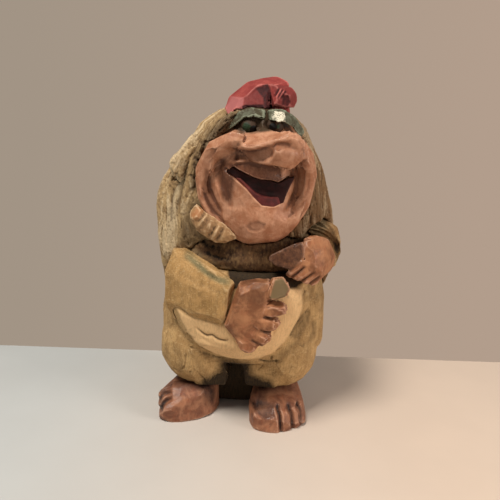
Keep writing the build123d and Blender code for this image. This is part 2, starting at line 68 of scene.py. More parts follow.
# Knife facets: how many points are cut at a time, how far a facet's plane may look away from a point,
# how much distance counts beside height, how softly facets meet, and the most they move a point
FACET_CHUNK = 20000
CELL_KEYS = (1, 4096, 4096**2)
LEAST_FACING = 0.3
FACET_PULL = 0.03
FACET_BLEND = 0.03
MOST_RISE = 2.0
MOST_CUT = 1.5
# Facets fade out where finer cuts are deeper than this
FINE_DEPTH = 0.9
# How sharply a point turns from the side to the front, and where relief and stain begin on that turn
FACING_STEEPNESS = 3
RELIEF_FACING = 0.5
STAIN_FACING = 1.2
# Widths over which the shape is read, and the depth that counts as a full cut
FINE_SCALE = (3, 0.25)
BROAD_SCALE = (12, 0.6)


def spline(points):
    """Points along a smooth line through the given ones."""
    rows = np.array(points, float)
    if len(rows) < 3:
        return rows
    rows = np.vstack([2 * rows[0] - rows[1], rows, 2 * rows[-1] - rows[-2]])
    line = []
    for a, b, c, d in zip(rows, rows[1:], rows[2:], rows[3:]):
        for t in np.arange(SPLINE_STEPS) / SPLINE_STEPS:
            line.append((2 * b + (c - a) * t + (2 * a - 5 * b + 4 * c - d) * t**2
                         + (3 * b - a - 3 * c + d) * t**3) / 2)
    line.append(rows[-2])
    return np.array(line)


def soft_min(a, b, blend):
    """The lesser of two distances, rounded where they are alike."""
    if blend <= 0:
        return np.minimum(a, b)
    share = np.clip(0.5 + 0.5 * (b - a) / blend, 0, 1)
    return b + (a - b) * share - blend * share * (1 - share)


class Form:
    """A shape given by its distance function and the box that holds it."""

    def __init__(self, places, reach, distance):
        self.low = np.min(places, axis=0) - reach
        self.high = np.max(places, axis=0) + reach
        self.distance = distance


def limb(*stations, flat=(0, 0, 1), flatness=1.0):
    """A bent limb. Each station is x, y, z and its radius; across flat it is thinner by flatness."""
    line = spline(stations)
    places, radii = line[:, :3], line[:, 3]
    flat = np.array(flat, float) / np.linalg.norm(flat)
    stretch = 1 / flatness - 1

    def distance(x, y, z):
        nearest = None
        for start, end, first, last in zip(places, places[1:], radii, radii[1:]):
            run = end - start
            dx, dy, dz = x - start[0], y - start[1], z - start[2]
            along = np.clip((dx * run[0] + dy * run[1] + dz * run[2]) / run.dot(run), 0, 1)
            dx, dy, dz = dx - along * run[0], dy - along * run[1], dz - along * run[2]
            if stretch:
                lift = (dx * flat[0] + dy * flat[1] + dz * flat[2]) * stretch
                dx, dy, dz = dx + lift * flat[0], dy + lift * flat[1], dz + lift * flat[2]
            gap = np.sqrt(dx * dx + dy * dy + dz * dz) - (first + along * (last - first))
            nearest = gap if nearest is None else np.minimum(nearest, gap)
        return nearest

    return Form(places, radii.max(), distance)


def ball(centre, radii, turn=(0, 0, 0)):
    """An egg-shaped form, turned by degrees about X, Y and Z."""
    inverse = np.array(Euler([radians(angle) for angle in turn]).to_matrix().inverted())

    def distance(x, y, z):
        dx, dy, dz = x - centre[0], y - centre[1], z - centre[2]
        near, steep = 0, 0
        for row, radius in zip(inverse, radii):
            across = (row[0] * dx + row[1] * dy + row[2] * dz) / radius
            near = near + across**2
            steep = steep + (across / radius) ** 2
        near = np.sqrt(near)
        return near * (near - 1) / np.sqrt(steep + 1e-9)

    return Form([centre], max(radii), distance)


def hull(points, blend=0.8):
    """A block cut with flat facets round the given corners, its edges eased."""
    shape = bmesh.new()
    for point in points:
        shape.verts.new(point)
    bmesh.ops.convex_hull(shape, input=shape.verts)
    middle = Vector(np.mean(points, axis=0))
    planes = {}
    for face in shape.faces:
        face.normal_update()
        normal, offset = face.normal, face.normal.dot(face.verts[0].co)
        if normal.length < 0.5:
            continue
        if normal.dot(middle) > offset:
            normal, offset = -normal, -offset
        planes[tuple(round(value, NORMAL_DIGITS) for value in normal)] = (tuple(normal), offset)
    shape.free()

    def distance(x, y, z):
        furthest = None
        for normal, offset in planes.values():
            gap = normal[0] * x + normal[1] * y + normal[2] * z - offset
            furthest = gap if furthest is None else -soft_min(-furthest, -gap, blend)
        return furthest

    return Form(points, blend, distance)


def wedge(outline, back, front, share, blend):
    """A block with a face like an outline, narrower at its front."""
    middle_x, middle_z = np.mean(outline, axis=0)
    step = front + WEDGE_STEP * (back - front)
    points = [(x, depth, z) for x, z in outline for depth in (back, step)]
    points += [
        (middle_x + share * (x - middle_x), front, middle_z + share * (z - middle_z)) for x, z in outline
    ]
    return hull(points, blend)


def outline_distance(outline, x, z):
    """Distance from an outline in the x-z plane, negative inside it."""
    nearest = np.full(np.broadcast(x, z).shape, FAR, np.float32)
    inside = np.zeros(nearest.shape, bool)
    for (ax, az), (bx, bz) in zip(outline, outline[1:] + outline[:1]):
        run_x, run_z = bx - ax, bz - az
        along = np.clip(((x - ax) * run_x + (z - az) * run_z) / (run_x**2 + run_z**2), 0, 1)
        nearest = np.minimum(nearest, np.hypot(x - ax - along * run_x, z - az - along * run_z))
        if run_z:
            inside ^= ((az > z) != (bz > z)) & (x < ax + (z - az) * run_x / run_z)
    return np.where(inside, -nearest, nearest)


def prism(outline, front, back):
    """An outline in the x-z plane, cut straight from front to back."""
    corners = [(x, y, z) for x, z in outline for y in (front, back)]

    def distance(x, y, z):
        return np.maximum(outline_distance(outline, x, z), np.maximum(front - y, y - back))

    return Form(corners, 0, distance)


def smooth_through(heights, rows):
    """Values at some heights on smooth curves through the rows of a table, whose first column rises."""
    table = np.array(rows, float)
    steps = np.gradient(table[:, 1:], table[:, 0], axis=0)
    place = np.clip(np.searchsorted(table[:, 0], heights) - 1, 0, len(table) - 2)
    span = (table[place + 1, 0] - table[place, 0])[:, None]
    t = np.clip((heights - table[place, 0]) / span[:, 0], 0, 1)[:, None]
    return ((2 * t**3 - 3 * t**2 + 1) * table[place, 1:] + (t**3 - 2 * t**2 + t) * span * steps[place]
            + (3 * t**2 - 2 * t**3) * table[place + 1, 1:] + (t**3 - t**2) * span * steps[place + 1])


def stack(rings, axis=(0, 0)):
    """An upright blank. Each ring is its height and its reach to -X, +X, the front and the back."""
    low, high = rings[0][0], rings[-1][0]
    reach = np.max(np.array(rings)[:, 1:])

    def distance(x, y, z):
        left, right, front, back = smooth_through(z.ravel(), rings).T[:, None, None, :]
        dx, dy = x - axis[0], y - axis[1]
        half_x, half_y = np.where(dx < 0, left, right), np.where(dy < 0, front, back)
        round_gap = (np.sqrt((dx / half_x) ** 2 + (dy / half_y) ** 2) - 1) * np.minimum(half_x, half_y)
        return np.maximum(round_gap, np.maximum(low - z, z - high))

    return Form([(*axis, low), (*axis, high)], (reach, reach, 0), distance)


class Carving:
    """A block of cells, each holding its distance to the surface of what is carved from it."""

    def __init__(self, low, high, cell):
        self.cell = cell
        self.low = np.floor(np.array(low, float) / cell - BAND_CELLS - 1) * cell
        counts = np.ceil((np.array(high) - self.low) / cell).astype(int) + BAND_CELLS + 1
        self.axes = [start + cell * np.arange(count) for start, count in zip(self.low, counts)]
        self.axes = [axis.astype(np.float32) for axis in self.axes]
        self.distance = np.full(counts, FAR, np.float32)

    @property
    def whole(self):
        return (self.axes[0][:, None, None], self.axes[1][None, :, None], self.axes[2][None, None, :])

    def near(self, form, reach):
        """The cells within reach of a form, as slices and their coordinates."""
        cut = tuple(
            slice(*np.searchsorted(axis, (low - reach, high + reach)))
            for axis, low, high in zip(self.axes, form.low, form.high)
        )
        x, y, z = (axis[part] for axis, part in zip(self.axes, cut))
        return cut, (x[:, None, None], y[None, :, None], z[None, None, :])

    def add(self, form, blend=0.0):
        cut, places = self.near(form, blend + 2)
        self.distance[cut] = soft_min(self.distance[cut], form.distance(*places), blend)

    def cut(self, form, blend=0.0):
        cut, places = self.near(form, blend + 2)
        self.distance[cut] = -soft_min(-self.distance[cut], form.distance(*places), blend)

    def keep(self, form, blend=0.0):
        self.distance = -soft_min(-self.distance, -form.distance(*self.whole), blend)

    def level_set(self, points, faces, cells):
        """Distances to a closed mesh of three-sided faces, known within some cells of it."""
        transform = vdb.createLinearTransform(voxelSize=self.cell)
        grid = vdb.FloatGrid.createLevelSetFromPolygons(
            np.ascontiguousarray(points, np.float32), triangles=np.ascontiguousarray(faces, np.uint32),
            transform=transform, halfWidth=cells,
        )
        distance = np.zeros(self.distance.shape, np.float32)
        grid.copyToArray(distance, ijk=tuple(int(round(value / self.cell)) for value in self.low))
        return distance

    def from_node(self, node, softness):
        """Takes the form of a node of the frame, with its edges eased by so many millimetres."""
        cells = softness / self.cell
        distance = self.level_set(*node_mesh(node), 3 * cells + BAND_CELLS + 1)
        self.distance = gaussian(distance, cells)

    def cut_piece(self, skin, clearance):
        """Cuts away where another piece is, with a clearance round it."""
        other = self.level_set(skin.points, skin.triangles(), clearance / self.cell + BAND_CELLS + 1)
        self.distance = np.maximum(self.distance, clearance - other)

    def even(self):
        """Makes the distances true again near the surface, where stretched forms were joined."""
        slopes = np.gradient(self.distance, self.cell)
        steep = np.sqrt(slopes[0] ** 2 + slopes[1] ** 2 + slopes[2] ** 2)
        self.distance /= np.clip(steep, *SLOPE_LIMITS)

    def relieve(self, relief):
        """Cuts a relief into everything in front of the axis."""
        share = np.clip(-self.axes[1] / FRONT_FADE, 0, 1)
        self.distance -= relief.height[:, None, :] * share[None, :, None]


def gaussian(values, sigma):
    """Smooths a block of values along its three axes."""
    if sigma <= LEAST_BLUR:
        return values
    reach = int(np.ceil(BLUR_REACH * sigma))
    weights = np.exp(-0.5 * (np.arange(-reach, reach + 1) / sigma) ** 2)
    weights /= weights.sum()
    for axis in range(3):
        margins = [(reach, reach) if other == axis else (0, 0) for other in range(3)]
        padded = np.pad(values, margins, "edge")
        total = np.zeros_like(values)
        for place, weight in enumerate(weights):
            cut = [slice(None)] * 3
            cut[axis] = slice(place, place + values.shape[axis])
            total += np.float32(weight) * padded[tuple(cut)]
        values = total
    return values


def node_mesh(node):
    """Points in millimetres and three-sided faces of a node of the frame."""
    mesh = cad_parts[node].data
    mesh.calc_loop_triangles()
    points = np.zeros(len(mesh.vertices) * 3, np.float32)
    faces = np.zeros(len(mesh.loop_triangles) * 3, np.int32)
    mesh.vertices.foreach_get("co", points)
    mesh.loop_triangles.foreach_get("vertices", faces)
    return points.reshape(-1, 3) / MILLIMETRE, faces.reshape(-1, 3)


class Relief:
    """Cuts and ridges on the front, drawn in the x-z plane, with the stain that settles in them; at some
    places that stain is painted shade.
    """

    def __init__(self, carving):
        self.x, self.z = carving.axes[0][:, None], carving.axes[2][None, :]
        self.height = np.zeros((self.x.size, self.z.size), np.float32)
        self.stain = np.zeros_like(self.height)
        self.zone = np.zeros_like(self.height)

    def stroke(self, line, width, height, stain=0.0, sharp=False, zone=0.0):
        """A cut or, with a height above zero, a ridge along a line that tapers at its ends."""
        points = spline(line)
        nearest = np.full(self.height.shape, FAR, np.float32)
        fade = np.zeros_like(nearest)
        for place, (start, end) in enumerate(zip(points, points[1:])):
            run = end - start
            dx, dz = self.x - start[0], self.z - start[1]
            along = np.clip((dx * run[0] + dz * run[1]) / run.dot(run), 0, 1)
            gap = np.hypot(dx - along * run[0], dz - along * run[1])
            passed = (place + along) / (len(points) - 1)
            closer = gap < nearest
            nearest = np.where(closer, gap, nearest)
            fade = np.where(closer, np.clip(np.minimum(passed, 1 - passed) / STROKE_ENDS, 0, 1), fade)
        across = np.clip(1 - nearest / width, 0, 1)
        profile = (across if sharp else across * across * (3 - 2 * across)) * np.sqrt(fade)
        self.height += height * profile
        self.stain += stain * profile
        self.zone += zone * profile

    def strokes(self, lines, *cut, **more):
        """The same cut along each of several lines."""
        for line in lines:
            self.stroke(line, *cut, **more)

    def patch(self, outline, height, edge, stain=0.0, zone=0.0):
        """A plane pressed in or left standing inside an outline."""
        inside = np.clip(0.5 - outline_distance(outline, self.x, self.z) / edge, 0, 1)
        inside = inside * inside * (3 - 2 * inside)
        self.height += height * inside
        self.stain += stain * inside
        self.zone += zone * inside

    def at(self, values, points):
        """Values of a map at the x and z of some points."""
        cell = self.x[1, 0] - self.x[0, 0]
        place_x = np.clip((points[:, 0] - self.x[0, 0]) / cell, 0, self.x.size - 1.001)
        place_z = np.clip((points[:, 2] - self.z[0, 0]) / cell, 0, self.z.size - 1.001)
        col, row = place_x.astype(int), place_z.astype(int)
        u, v = place_x - col, place_z - row
        return ((1 - u) * (1 - v) * values[col, row] + u * (1 - v) * values[col + 1, row]
                + (1 - u) * v * values[col, row + 1] + u * v * values[col + 1, row + 1])


GRADIENTS = np.random.RandomState(7).normal(size=(256, 3))
GRADIENTS /= np.linalg.norm(GRADIENTS, axis=1)[:, None]
CORNER_PRIMES = (73856093, 19349663, 83492791)
SEED_PRIME = 7919
SCATTER_PRIME = 1274126177
NOISE_GAIN = 1.6


def noise(points, seed=0):
    """Smooth noise between about -1 and 1 at each point."""
    base = np.floor(points).astype(np.int64)
    part = points - base
    ease = part**3 * (part * (part * 6 - 15) + 10)
    total = np.zeros(len(points))
    for corner in product((0, 1), repeat=3):
        key = (base + corner) * CORNER_PRIMES
        key = (key[:, 0] ^ key[:, 1] ^ key[:, 2]) + seed * SEED_PRIME
        key = ((key ^ (key >> 13)) * SCATTER_PRIME) & 0x7FFFFFFF
        gradient = GRADIENTS[(key >> 8) & 255]
        weight = np.prod(np.where(corner, ease, 1 - ease), axis=1)
        total += weight * np.sum(gradient * (part - corner), axis=1)
    return total * NOISE_GAIN


class Skin:
    """The surface of a carving as points and four-sided faces, in millimetres."""

    def __init__(self, carving):
        band = carving.cell * BAND_CELLS
        grid = vdb.FloatGrid(band)
        grid.copyFromArray(np.clip(carving.distance, -band, band))
        grid.transform = vdb.createLinearTransform(voxelSize=carving.cell)
        points, _, quads = grid.convertToPolygons(isovalue=0.0, adaptivity=0.0)
        self.points = points.astype(float) + carving.low
        self.quads = quads.astype(np.int64)
        self.cell = carving.cell
        self.traits = {}
        self.keep_largest()
        corners = self.points[self.quads[:, :3]]
        volume = np.sum(corners[:, 0] * np.cross(corners[:, 1], corners[:, 2]))
        if volume < 0:
            self.quads = self.quads[:, ::-1]
        self.points = self.smoothed(self.points, 1)

    def edges_of(self):
        pairs = np.concatenate([self.quads[:, [side, (side + 1) % 4]] for side in range(4)])
        pairs.sort(axis=1)
        keys = np.unique(pairs[:, 0] * len(self.points) + pairs[:, 1])
        return np.stack([keys // len(self.points), keys % len(self.points)], axis=1)

    def keep_largest(self):
        """Drops crumbs that the cuts leave."""
        self.edges = self.edges_of()
        label = np.arange(len(self.points))
        while True:
            lowest = np.minimum(label[self.edges[:, 0]], label[self.edges[:, 1]])
            merged = label.copy()
            np.minimum.at(merged, self.edges[:, 0], lowest)
            np.minimum.at(merged, self.edges[:, 1], lowest)
            merged = merged[merged]
            if np.array_equal(merged, label):
                break
            label = merged
        kept = label == np.bincount(label).argmax()
        renumbered = np.cumsum(kept) - 1
        self.quads = renumbered[self.quads[kept[self.quads[:, 0]]]]
        self.points = self.points[kept]
        self.edges = self.edges_of()
        self.degree = np.bincount(self.edges.ravel(), minlength=len(self.points))

    def smoothed(self, values, rounds):
        """Values after rounds of taking each point halfway to its neighbours' mean."""
        values = np.array(values, float)
        columns = values.reshape(len(values), -1)
        a, b = self.edges.T
        for _ in range(rounds):
            for column in range(columns.shape[1]):
                line = columns[:, column]
                total = np.bincount(a, line[b], len(line)) + np.bincount(b, line[a], len(line))
                columns[:, column] = (line + total / self.degree) / 2
        return columns.reshape(values.shape)

    def normals(self, points=None):
        points = self.points if points is None else points
        a, b, c, d = (points[self.quads[:, side]] for side in range(4))
        across = np.cross(c - a, d - b)
        total = np.zeros_like(points)
        for side in range(4):
            for axis in range(3):
                total[:, axis] += np.bincount(self.quads[:, side], across[:, axis], len(total))
        return total / np.maximum(np.linalg.norm(total, axis=1), 1e-9)[:, None]

    def triangles(self):
        return np.concatenate([self.quads[:, [0, 1, 2]], self.quads[:, [0, 2, 3]]])

    def push(self, amount):
        """Moves each point along its normal."""
        self.points = self.points + self.normals() * np.asarray(amount)[:, None]

    def facing(self, normals, bias, limit_y):
        """How far each point faces the front, fading out at a limit in depth."""
        front = np.clip(-FACING_STEEPNESS * normals[:, 1] + bias, 0, 1)
        return front * np.clip((limit_y - self.points[:, 1]) / FRONT_FADE, 0, 1)

    def engrave(self, relief, limit_y):
        """Moves what faces the front in or out by the heights of a relief."""
        normals = self.smoothed(self.normals(), 2)
        amount = relief.at(relief.height, self.points) * self.facing(normals, RELIEF_FACING, limit_y)
        self.points = self.points + normals * amount[:, None]

    def whittle(self, facet, strength, seed):
        """Cuts the broad form into flat knife facets of about the given size. Finer cuts stay on them."""
        blank = self.smoothed(self.points, int((0.5 * facet / self.cell) ** 2))
        normals = self.normals(blank)
        order = np.random.RandomState(seed).permutation(len(blank))
        cells = np.floor(blank[order] / facet).astype(np.int64)
        _, first = np.unique((cells * CELL_KEYS).sum(axis=1), return_index=True)
        seeds, ways = blank[order[first]], normals[order[first]]
        offsets = (seeds * ways).sum(axis=1)
        lengths = (seeds**2).sum(axis=1)
        bare = np.abs(((self.points - blank) * normals).sum(axis=1))
        strength = strength * np.clip(1.5 - bare / FINE_DEPTH, 0, 1)
        for start in range(0, len(blank), FACET_CHUNK):
            part = slice(start, start + FACET_CHUNK)
            points, facing = blank[part], normals[part]
            away = (points**2).sum(axis=1)[:, None] + lengths - 2 * points @ seeds.T
            toward = facing @ ways.T
            rise = (offsets - points @ ways.T) / np.maximum(toward, LEAST_FACING)
            cost = np.abs(rise) + FACET_PULL * away / facet + np.where(toward < LEAST_FACING, FAR, 0)
            weight = np.exp(-(cost - cost.min(axis=1, keepdims=True)) / FACET_BLEND)
            move = (weight * np.clip(rise, -MOST_RISE, MOST_RISE)).sum(axis=1) / weight.sum(axis=1)
            move = np.clip(move, -MOST_CUT, MOST_CUT)
            self.points[part] += facing * (strength[part] * move)[:, None]

    def read_shape(self):
        """Notes how deep each point lies in a cut and how far it stands on a ridge."""
        normals = self.normals()
        fine, broad = (
            ((self.points - self.smoothed(self.points, int(width / self.cell))) * normals).sum(axis=1) / depth
            for width, depth in (FINE_SCALE, BROAD_SCALE)
        )
        # The cut trait darkens the paint as stain settled in cuts and as painted shade; the ridge trait
        # lightens it as wear and as painted highlight
        self.traits["cut"] = np.clip(-fine - broad, 0, 1)
        self.traits["wear_and_highlight"] = np.clip(0.35 * fine + broad, 0, 1)

    def note(self, relief, limit_y=0.0):
        """Notes the stain, some of it painted shade, and the zones of a relief on what faces the front."""
        facing = self.facing(self.normals(), STAIN_FACING, limit_y)
        ragged = 1 + 0.2 * noise(self.points / (1.3, 1.3, 2.2), 40) + 0.2 * noise(self.points / 0.6, 41)
        self.traits["stain"] = relief.at(relief.stain, self.points) * facing * ragged
        self.traits["zone"] = relief.at(relief.zone, self.points) * facing

    def dress(self, ripples, relief=None, limit_y=0.0, stain_y=0.0):
        """Cuts a relief and then ripples, each of a height, size and seed, and notes what the paint needs."""
        if relief:
            self.engrave(relief, limit_y)
        self.push(sum(height * noise(self.points / size, seed) for height, size, seed in ripples))
        self.points[:, 2] = np.maximum(self.points[:, 2], 0)
        self.read_shape()
        if relief:
            self.note(relief, stain_y)
        return self

    def piece(self, name, slot, material):
        """Makes the piece that stands for the node of the same name."""
        mesh = bpy.data.meshes.new(name)
        mesh.from_pydata((self.points * MILLIMETRE).tolist(), [], self.quads.tolist())
        mesh.shade_smooth()
        for trait, values in self.traits.items():
            mesh.attributes.new(trait, "FLOAT", "POINT").data.foreach_set("value", values.astype(np.float32))
        mesh.materials.append(material)
        made = bpy.data.objects.new(f"carved_{name}", mesh)
        bpy.context.scene.collection.objects.link(made)
        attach(made, "root")
        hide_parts(name)


def node_block(node, cell, margin=1.0):
    """A block of cells round a node of the frame."""
    low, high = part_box(node)
    return Carving(np.array(low) / MILLIMETRE - margin, np.array(high) / MILLIMETRE + margin, cell)


# Head: the skull's rings, then the rolls of the cheeks, the nose and the chin.
# A ring is its height and its reach to -X, +X, the front and the back; a roll's row is x, y, z, radius.
HEAD_RINGS = (
    (101.2, 6, 11, 24, 4),
    (103.7, 15, 19, 29.5, 11),
    (108, 20.5, 24, 32.5, 14),
    (113, 24.5, 27, 34, 16),
    (121.8, 28, 28.8, 35.5, 19),
    (132.5, 28.6, 29.3, 36, 20),
    (142.5, 26.5, 28, 35.2, 20),
    (150.6, 21.5, 26, 32.5, 20),
    (154.6, 18.5, 23, 28.5, 20),
    (158.5, 16.5, 20, 24, 18),
    (163.3, 15.5, 16.8, 22, 16.5),
    (168, 10.8, 12, 15.6, 12),
)
RIGHT_CHEEK = (
    (-2, -34, 152, 3.4), (-9, -32.6, 151.8, 4.6), (-16, -29.4, 148.8, 5), (-21.6, -26, 142.6, 4.8),
    (-24.2, -23.6, 134.5, 4.4), (-24.2, -23, 126.5, 4), (-21.4, -24.5, 118.5, 3.4), (-16.5, -27, 112, 2.6),
)
LEFT_CHEEK = (
    (22.5, -29.5, 151.5, 2.6), (25.2, -27.5, 144, 3.8), (26, -26, 134, 4), (25, -26, 124, 3.8),
    (20.8, -27.5, 114.5, 3),
)
NOSE_RIDGE = (
    (-4.8, -36.4, 151.4, 2.5), (-1, -37.4, 151.6, 3), (5, -38.2, 153.4, 3.3), (11.5, -38.2, 154.8, 3.5),
    (17.2, -36.9, 154.4, 3.5), (20, -35, 150.6, 3.3), (20, -34.6, 146, 3),
)
NOSE_BRIDGE = ((3.4, -19, 164, 2), (3.6, -22.6, 160, 2.4), (4.5, -27, 156.4, 3), (6, -32, 153, 4.4))
MOUTH_OUTLINE = [
    (-13.4, 137.8), (-10.4, 139.3), (-8.1, 138.0), (-4.2, 136.4), (-0.5, 134.9), (3.1, 133.9), (8.4, 133.7),
    (12, 132.5), (14.1, 133.5), (16.6, 135.2), (19.8, 136), (17.7, 131.5), (16.2, 127.6), (15, 123.4),
    (10.5, 121.5), (4.6, 122.2), (0.4, 126), (-3.2, 129.9), (-7.5, 133.2), (-11, 135.7),
]
LIP_OUTLINE = [
    (-9.6, 135.6), (-6.6, 134.6), (-2.6, 131.2), (1, 128.2), (4.4, 126.6), (8.6, 126), (14.2, 126.4),
    (16.4, 129.2), (15, 123), (10.5, 121), (4.6, 121.7), (0, 125.6), (-3.6, 129.6), (-7.8, 133),
]
CHIN = ((3.6, -22, 113.5), (19, 12.5, 12))
# The mouth is cut from well in front of the face back to its floor
IN_FRONT = -50
MOUTH_FLOOR = -27.5
EYE_CENTRES = {"right_eye": (-3.4, -20.6, 159), "left_eye": (9.0, -20.4, 159.8)}
EYE_RADII = (4.3, 4.085, 3.655)


def face_relief(carving):
    """Knife cuts, flutes and planes of the face."""
    relief = Relief(carving)
    # Fluting between the rolls of the right cheek
    relief.stroke([(-15.5, 148.6), (-21.2, 143.2), (-22.9, 137), (-22.6, 131.5), (-21.3, 126.5),
                   (-19.2, 121)], 3.2, -0.7, 0.12)
    relief.stroke([(-8.5, 151.8), (-10.8, 149.3), (-14, 146), (-16.9, 142.5), (-17.8, 139), (-17.4, 135),
                   (-15.8, 130.5), (-13.8, 125.5), (-11.6, 119.5)], 3.6, -1.1, 0.25)
    relief.stroke([(-4.5, 155), (-6.6, 153.2), (-8.4, 150.4), (-10.2, 146.6), (-11.4, 143)], 2.4, -0.7, 0.1)
    relief.stroke([(-19.4, 145.4), (-20.4, 139.6), (-20.1, 135.2), (-18.9, 131.7), (-17.3, 127.5),
                   (-14.5, 121.2)], 0.9, 0.4, -0.3, sharp=True)
    # Dark stain and painted shade inside the rolls, beside the corner of the mouth
    relief.patch([(-24, 138), (-22, 137), (-21, 130), (-18.4, 122), (-14, 114), (-20, 116), (-25, 126)],
                 0, 2, 0.55)
    relief.patch([(-16.4, 143), (-11, 141.6), (-9, 136), (-9.8, 127), (-11, 121), (-15, 124), (-17, 133)],
                 0, 3, 0.85)
    # Cuts along the jaw on the same side
    relief.strokes((
        [(-25.3, 128.4), (-23.7, 122.6), (-20.9, 117.6), (-17.5, 112.8)],
        [(-21.5, 127.6), (-19.8, 124), (-17.4, 120), (-14.8, 116)],
        [(-24.2, 126), (-22.3, 121.6), (-19.4, 117.4), (-15.6, 113.6), (-12.8, 111)],
    ), 1.4, -0.7, 0.5)
    relief.stroke([(-16.9, 129.2), (-14.6, 126.2), (-12.5, 122.5), (-10.6, 117.9)], 1.1, 0.35, -0.15)
    # The nose: its wing overhangs the front, which is set back, and a fold runs to the lip. The front and the
    # creases under the wing and the lobe are painted dark as shade
    relief.patch([(-9.4, 149), (-6.6, 148.4), (-2.6, 148.2), (2.2, 149.2), (6.2, 151.4), (9.5, 152),
                  (8, 146.5), (4, 143.6), (-1, 142.8), (-6, 143.2), (-10, 143.4)], -0.9, 1.4, 0.5)
    relief.stroke([(-7.6, 148.8), (-4.6, 148.2), (-1, 148.4), (3, 149.8), (6.6, 151.6)], 1.2, -0.6, 0.35)
    relief.stroke([(8.4, 152.2), (10.6, 152.6), (13.6, 152.8), (16.6, 152.2)], 1.5, -0.8, 0.45)
    relief.stroke([(-6.6, 150.9), (-4.7, 150.1), (-2.6, 150), (0, 150.6), (3, 152)], 0.9, 0.5, -0.4)
    relief.patch([(-6, 150.6), (0, 150.4), (6, 152.8), (13, 157.4), (6, 157), (0, 156), (-5, 153.6)],
                 0, 1.2, -0.3)
    relief.patch([(8.5, 150), (20, 149.4), (21.5, 146.2), (17, 142.6), (9.5, 144)], 0.3, 2.8, 0.1)
    relief.patch([(8, 152), (19, 151), (20.4, 147.4), (12, 147.6), (8, 148.6)], 0, 1.8, 0.18)
    relief.stroke([(-8.6, 145.8), (-9.8, 142.6), (-11.6, 139.2)], 1.9, -0.7, 0.35)
    # Upper lip: a plane under the nose, cut back and painted dark as shade under the nose
    relief.patch([(-11.6, 139.2), (-9, 142), (-4, 143), (1, 142.4), (8, 141.8), (14, 140.8), (19.4, 139.9),
                  (20.2, 136.2), (16.8, 134.6), (14.2, 132.6), (12, 131.6), (8.4, 132.8), (3.1, 133),
                  (-0.5, 134), (-4.2, 135.4), (-8.1, 137)], -1.7, 1.4, 0.85)
    relief.patch([(13.4, 140.4), (19.4, 139.4), (19.4, 136.4), (16.4, 135.4), (14, 134.2)], 0.3, 1.6, -0.7)
    # Left cheek: a hollow beside the nose and the mouth
    relief.stroke([(22.2, 153), (23, 148.5), (22.7, 143.6), (23.6, 138.2), (23.6, 132), (22, 125.8),
                   (18.4, 118.3)], 2.6, -0.8, 0.22)
    relief.stroke([(20.4, 141), (21.3, 136), (21.1, 130.4), (19, 124.2), (16.2, 118)], 2.1, -0.5, 0.2)
    relief.strokes((
        [(27.8, 127), (25, 123.3), (21.6, 119.7), (18, 116)],
        [(21.3, 130.6), (19.3, 125.4), (16.6, 119.6)],
        [(26.4, 139), (26.8, 132), (25.4, 126)],
    ), 1.3, -0.4, 0.25)
    relief.stroke([(22.6, 130), (20.8, 124.6), (17.4, 118.4)], 0.9, 0.35, -0.35, sharp=True)
    # Chin: a broad plane beside the mouth and a dimple
    relief.patch([(-14.4, 135.6), (-9.1, 133.2), (-3.4, 129.9), (-0.4, 125.4), (-2.9, 120.3), (-10.4, 119.8),
                  (-14.8, 125.4), (-16, 131.5)], -0.6, 3.6, 0.1)
    relief.patch([(-2.6, 111.2), (-0.6, 113.6), (3.4, 114.4), (6.8, 113), (6.4, 110.6), (3.2, 108.8),
                  (-0.8, 109)], -0.7, 1.2, 0.35)
    relief.stroke([(-14.6, 138.8), (-13, 137.6), (-10.4, 136)], 1.3, -1.0, 1.0)
    # Dark wash in the sockets, on the bridge between the brows and up to the cap
    relief.patch([(-25, 151), (-17.4, 155.4), (-11.4, 157.4), (-7, 156), (-2, 156.2), (3.4, 157.2),
                  (9, 158.2), (15, 159.4), (19, 158), (22, 157), (24, 153), (27, 160), (20, 172),
                  (-24, 172)], 0, 1.0, zone=1.0)
    return relief


def carve_head():
    carving = node_block("head", FINE_CELL, margin=1.5)
    carving.add(stack(HEAD_RINGS))
    carving.even()
    carving.add(limb(*RIGHT_CHEEK), 3)
    carving.add(limb(*LEFT_CHEEK), 3)
    carving.add(ball(*CHIN), 4)
    carving.add(ball((8, -31.8, 148.4), (15.6, 10, 8.4), (0, 6, 0)), 2.5)
    carving.add(limb(*NOSE_RIDGE), 1.2)
    carving.add(limb(*NOSE_BRIDGE), 2)
    carving.even()
    # The nose has a flat top that slopes to a crisp edge, and a flat front set back below it
    carving.cut(hull([
        (-6.4, -38.4, 150.6), (-4, -40, 150.6), (2.2, -42.4, 151), (8, -43.4, 153.6), (14, -43.8, 155),
        (-4.4, -31, 156.8), (2, -32, 158), (9, -33.4, 158.6), (15, -35, 159.6), (-6, -46, 152),
        (-4, -40, 162), (14, -44, 166), (8, -52, 154), (14, -52, 156),
    ]), 1.2)
    carving.cut(hull([
        (-9.4, -36, 148.6), (-4, -39, 148.6), (2.2, -41, 149.2), (7.4, -42, 151), (8.4, -40.6, 146.4),
        (6, -38.8, 143), (0, -37.6, 142.6), (-8, -35, 143), (-9, -50, 148), (8, -50, 150), (8, -50, 143),
        (-8, -50, 142),
    ]), 0.3)
    for x, y, z in EYE_CENTRES.values():
        carving.cut(ball((x, y - 5.6, z + 0.6), (5.8, 5.2, 3.7)), 1.0)
    carving.cut(prism(MOUTH_OUTLINE, IN_FRONT, MOUTH_FLOOR), 0.4)
    skin = Skin(carving)
    away = outline_distance(MOUTH_OUTLINE, skin.points[:, 0], skin.points[:, 2])
    skin.whittle(facet=8, strength=0.8 * np.clip(away / 5, 0, 1), seed=3)
    return skin.dress([(0.05, (1.6, 1.6, 4.5), 1)], face_relief(carving), limit_y=-8, stain_y=-8)


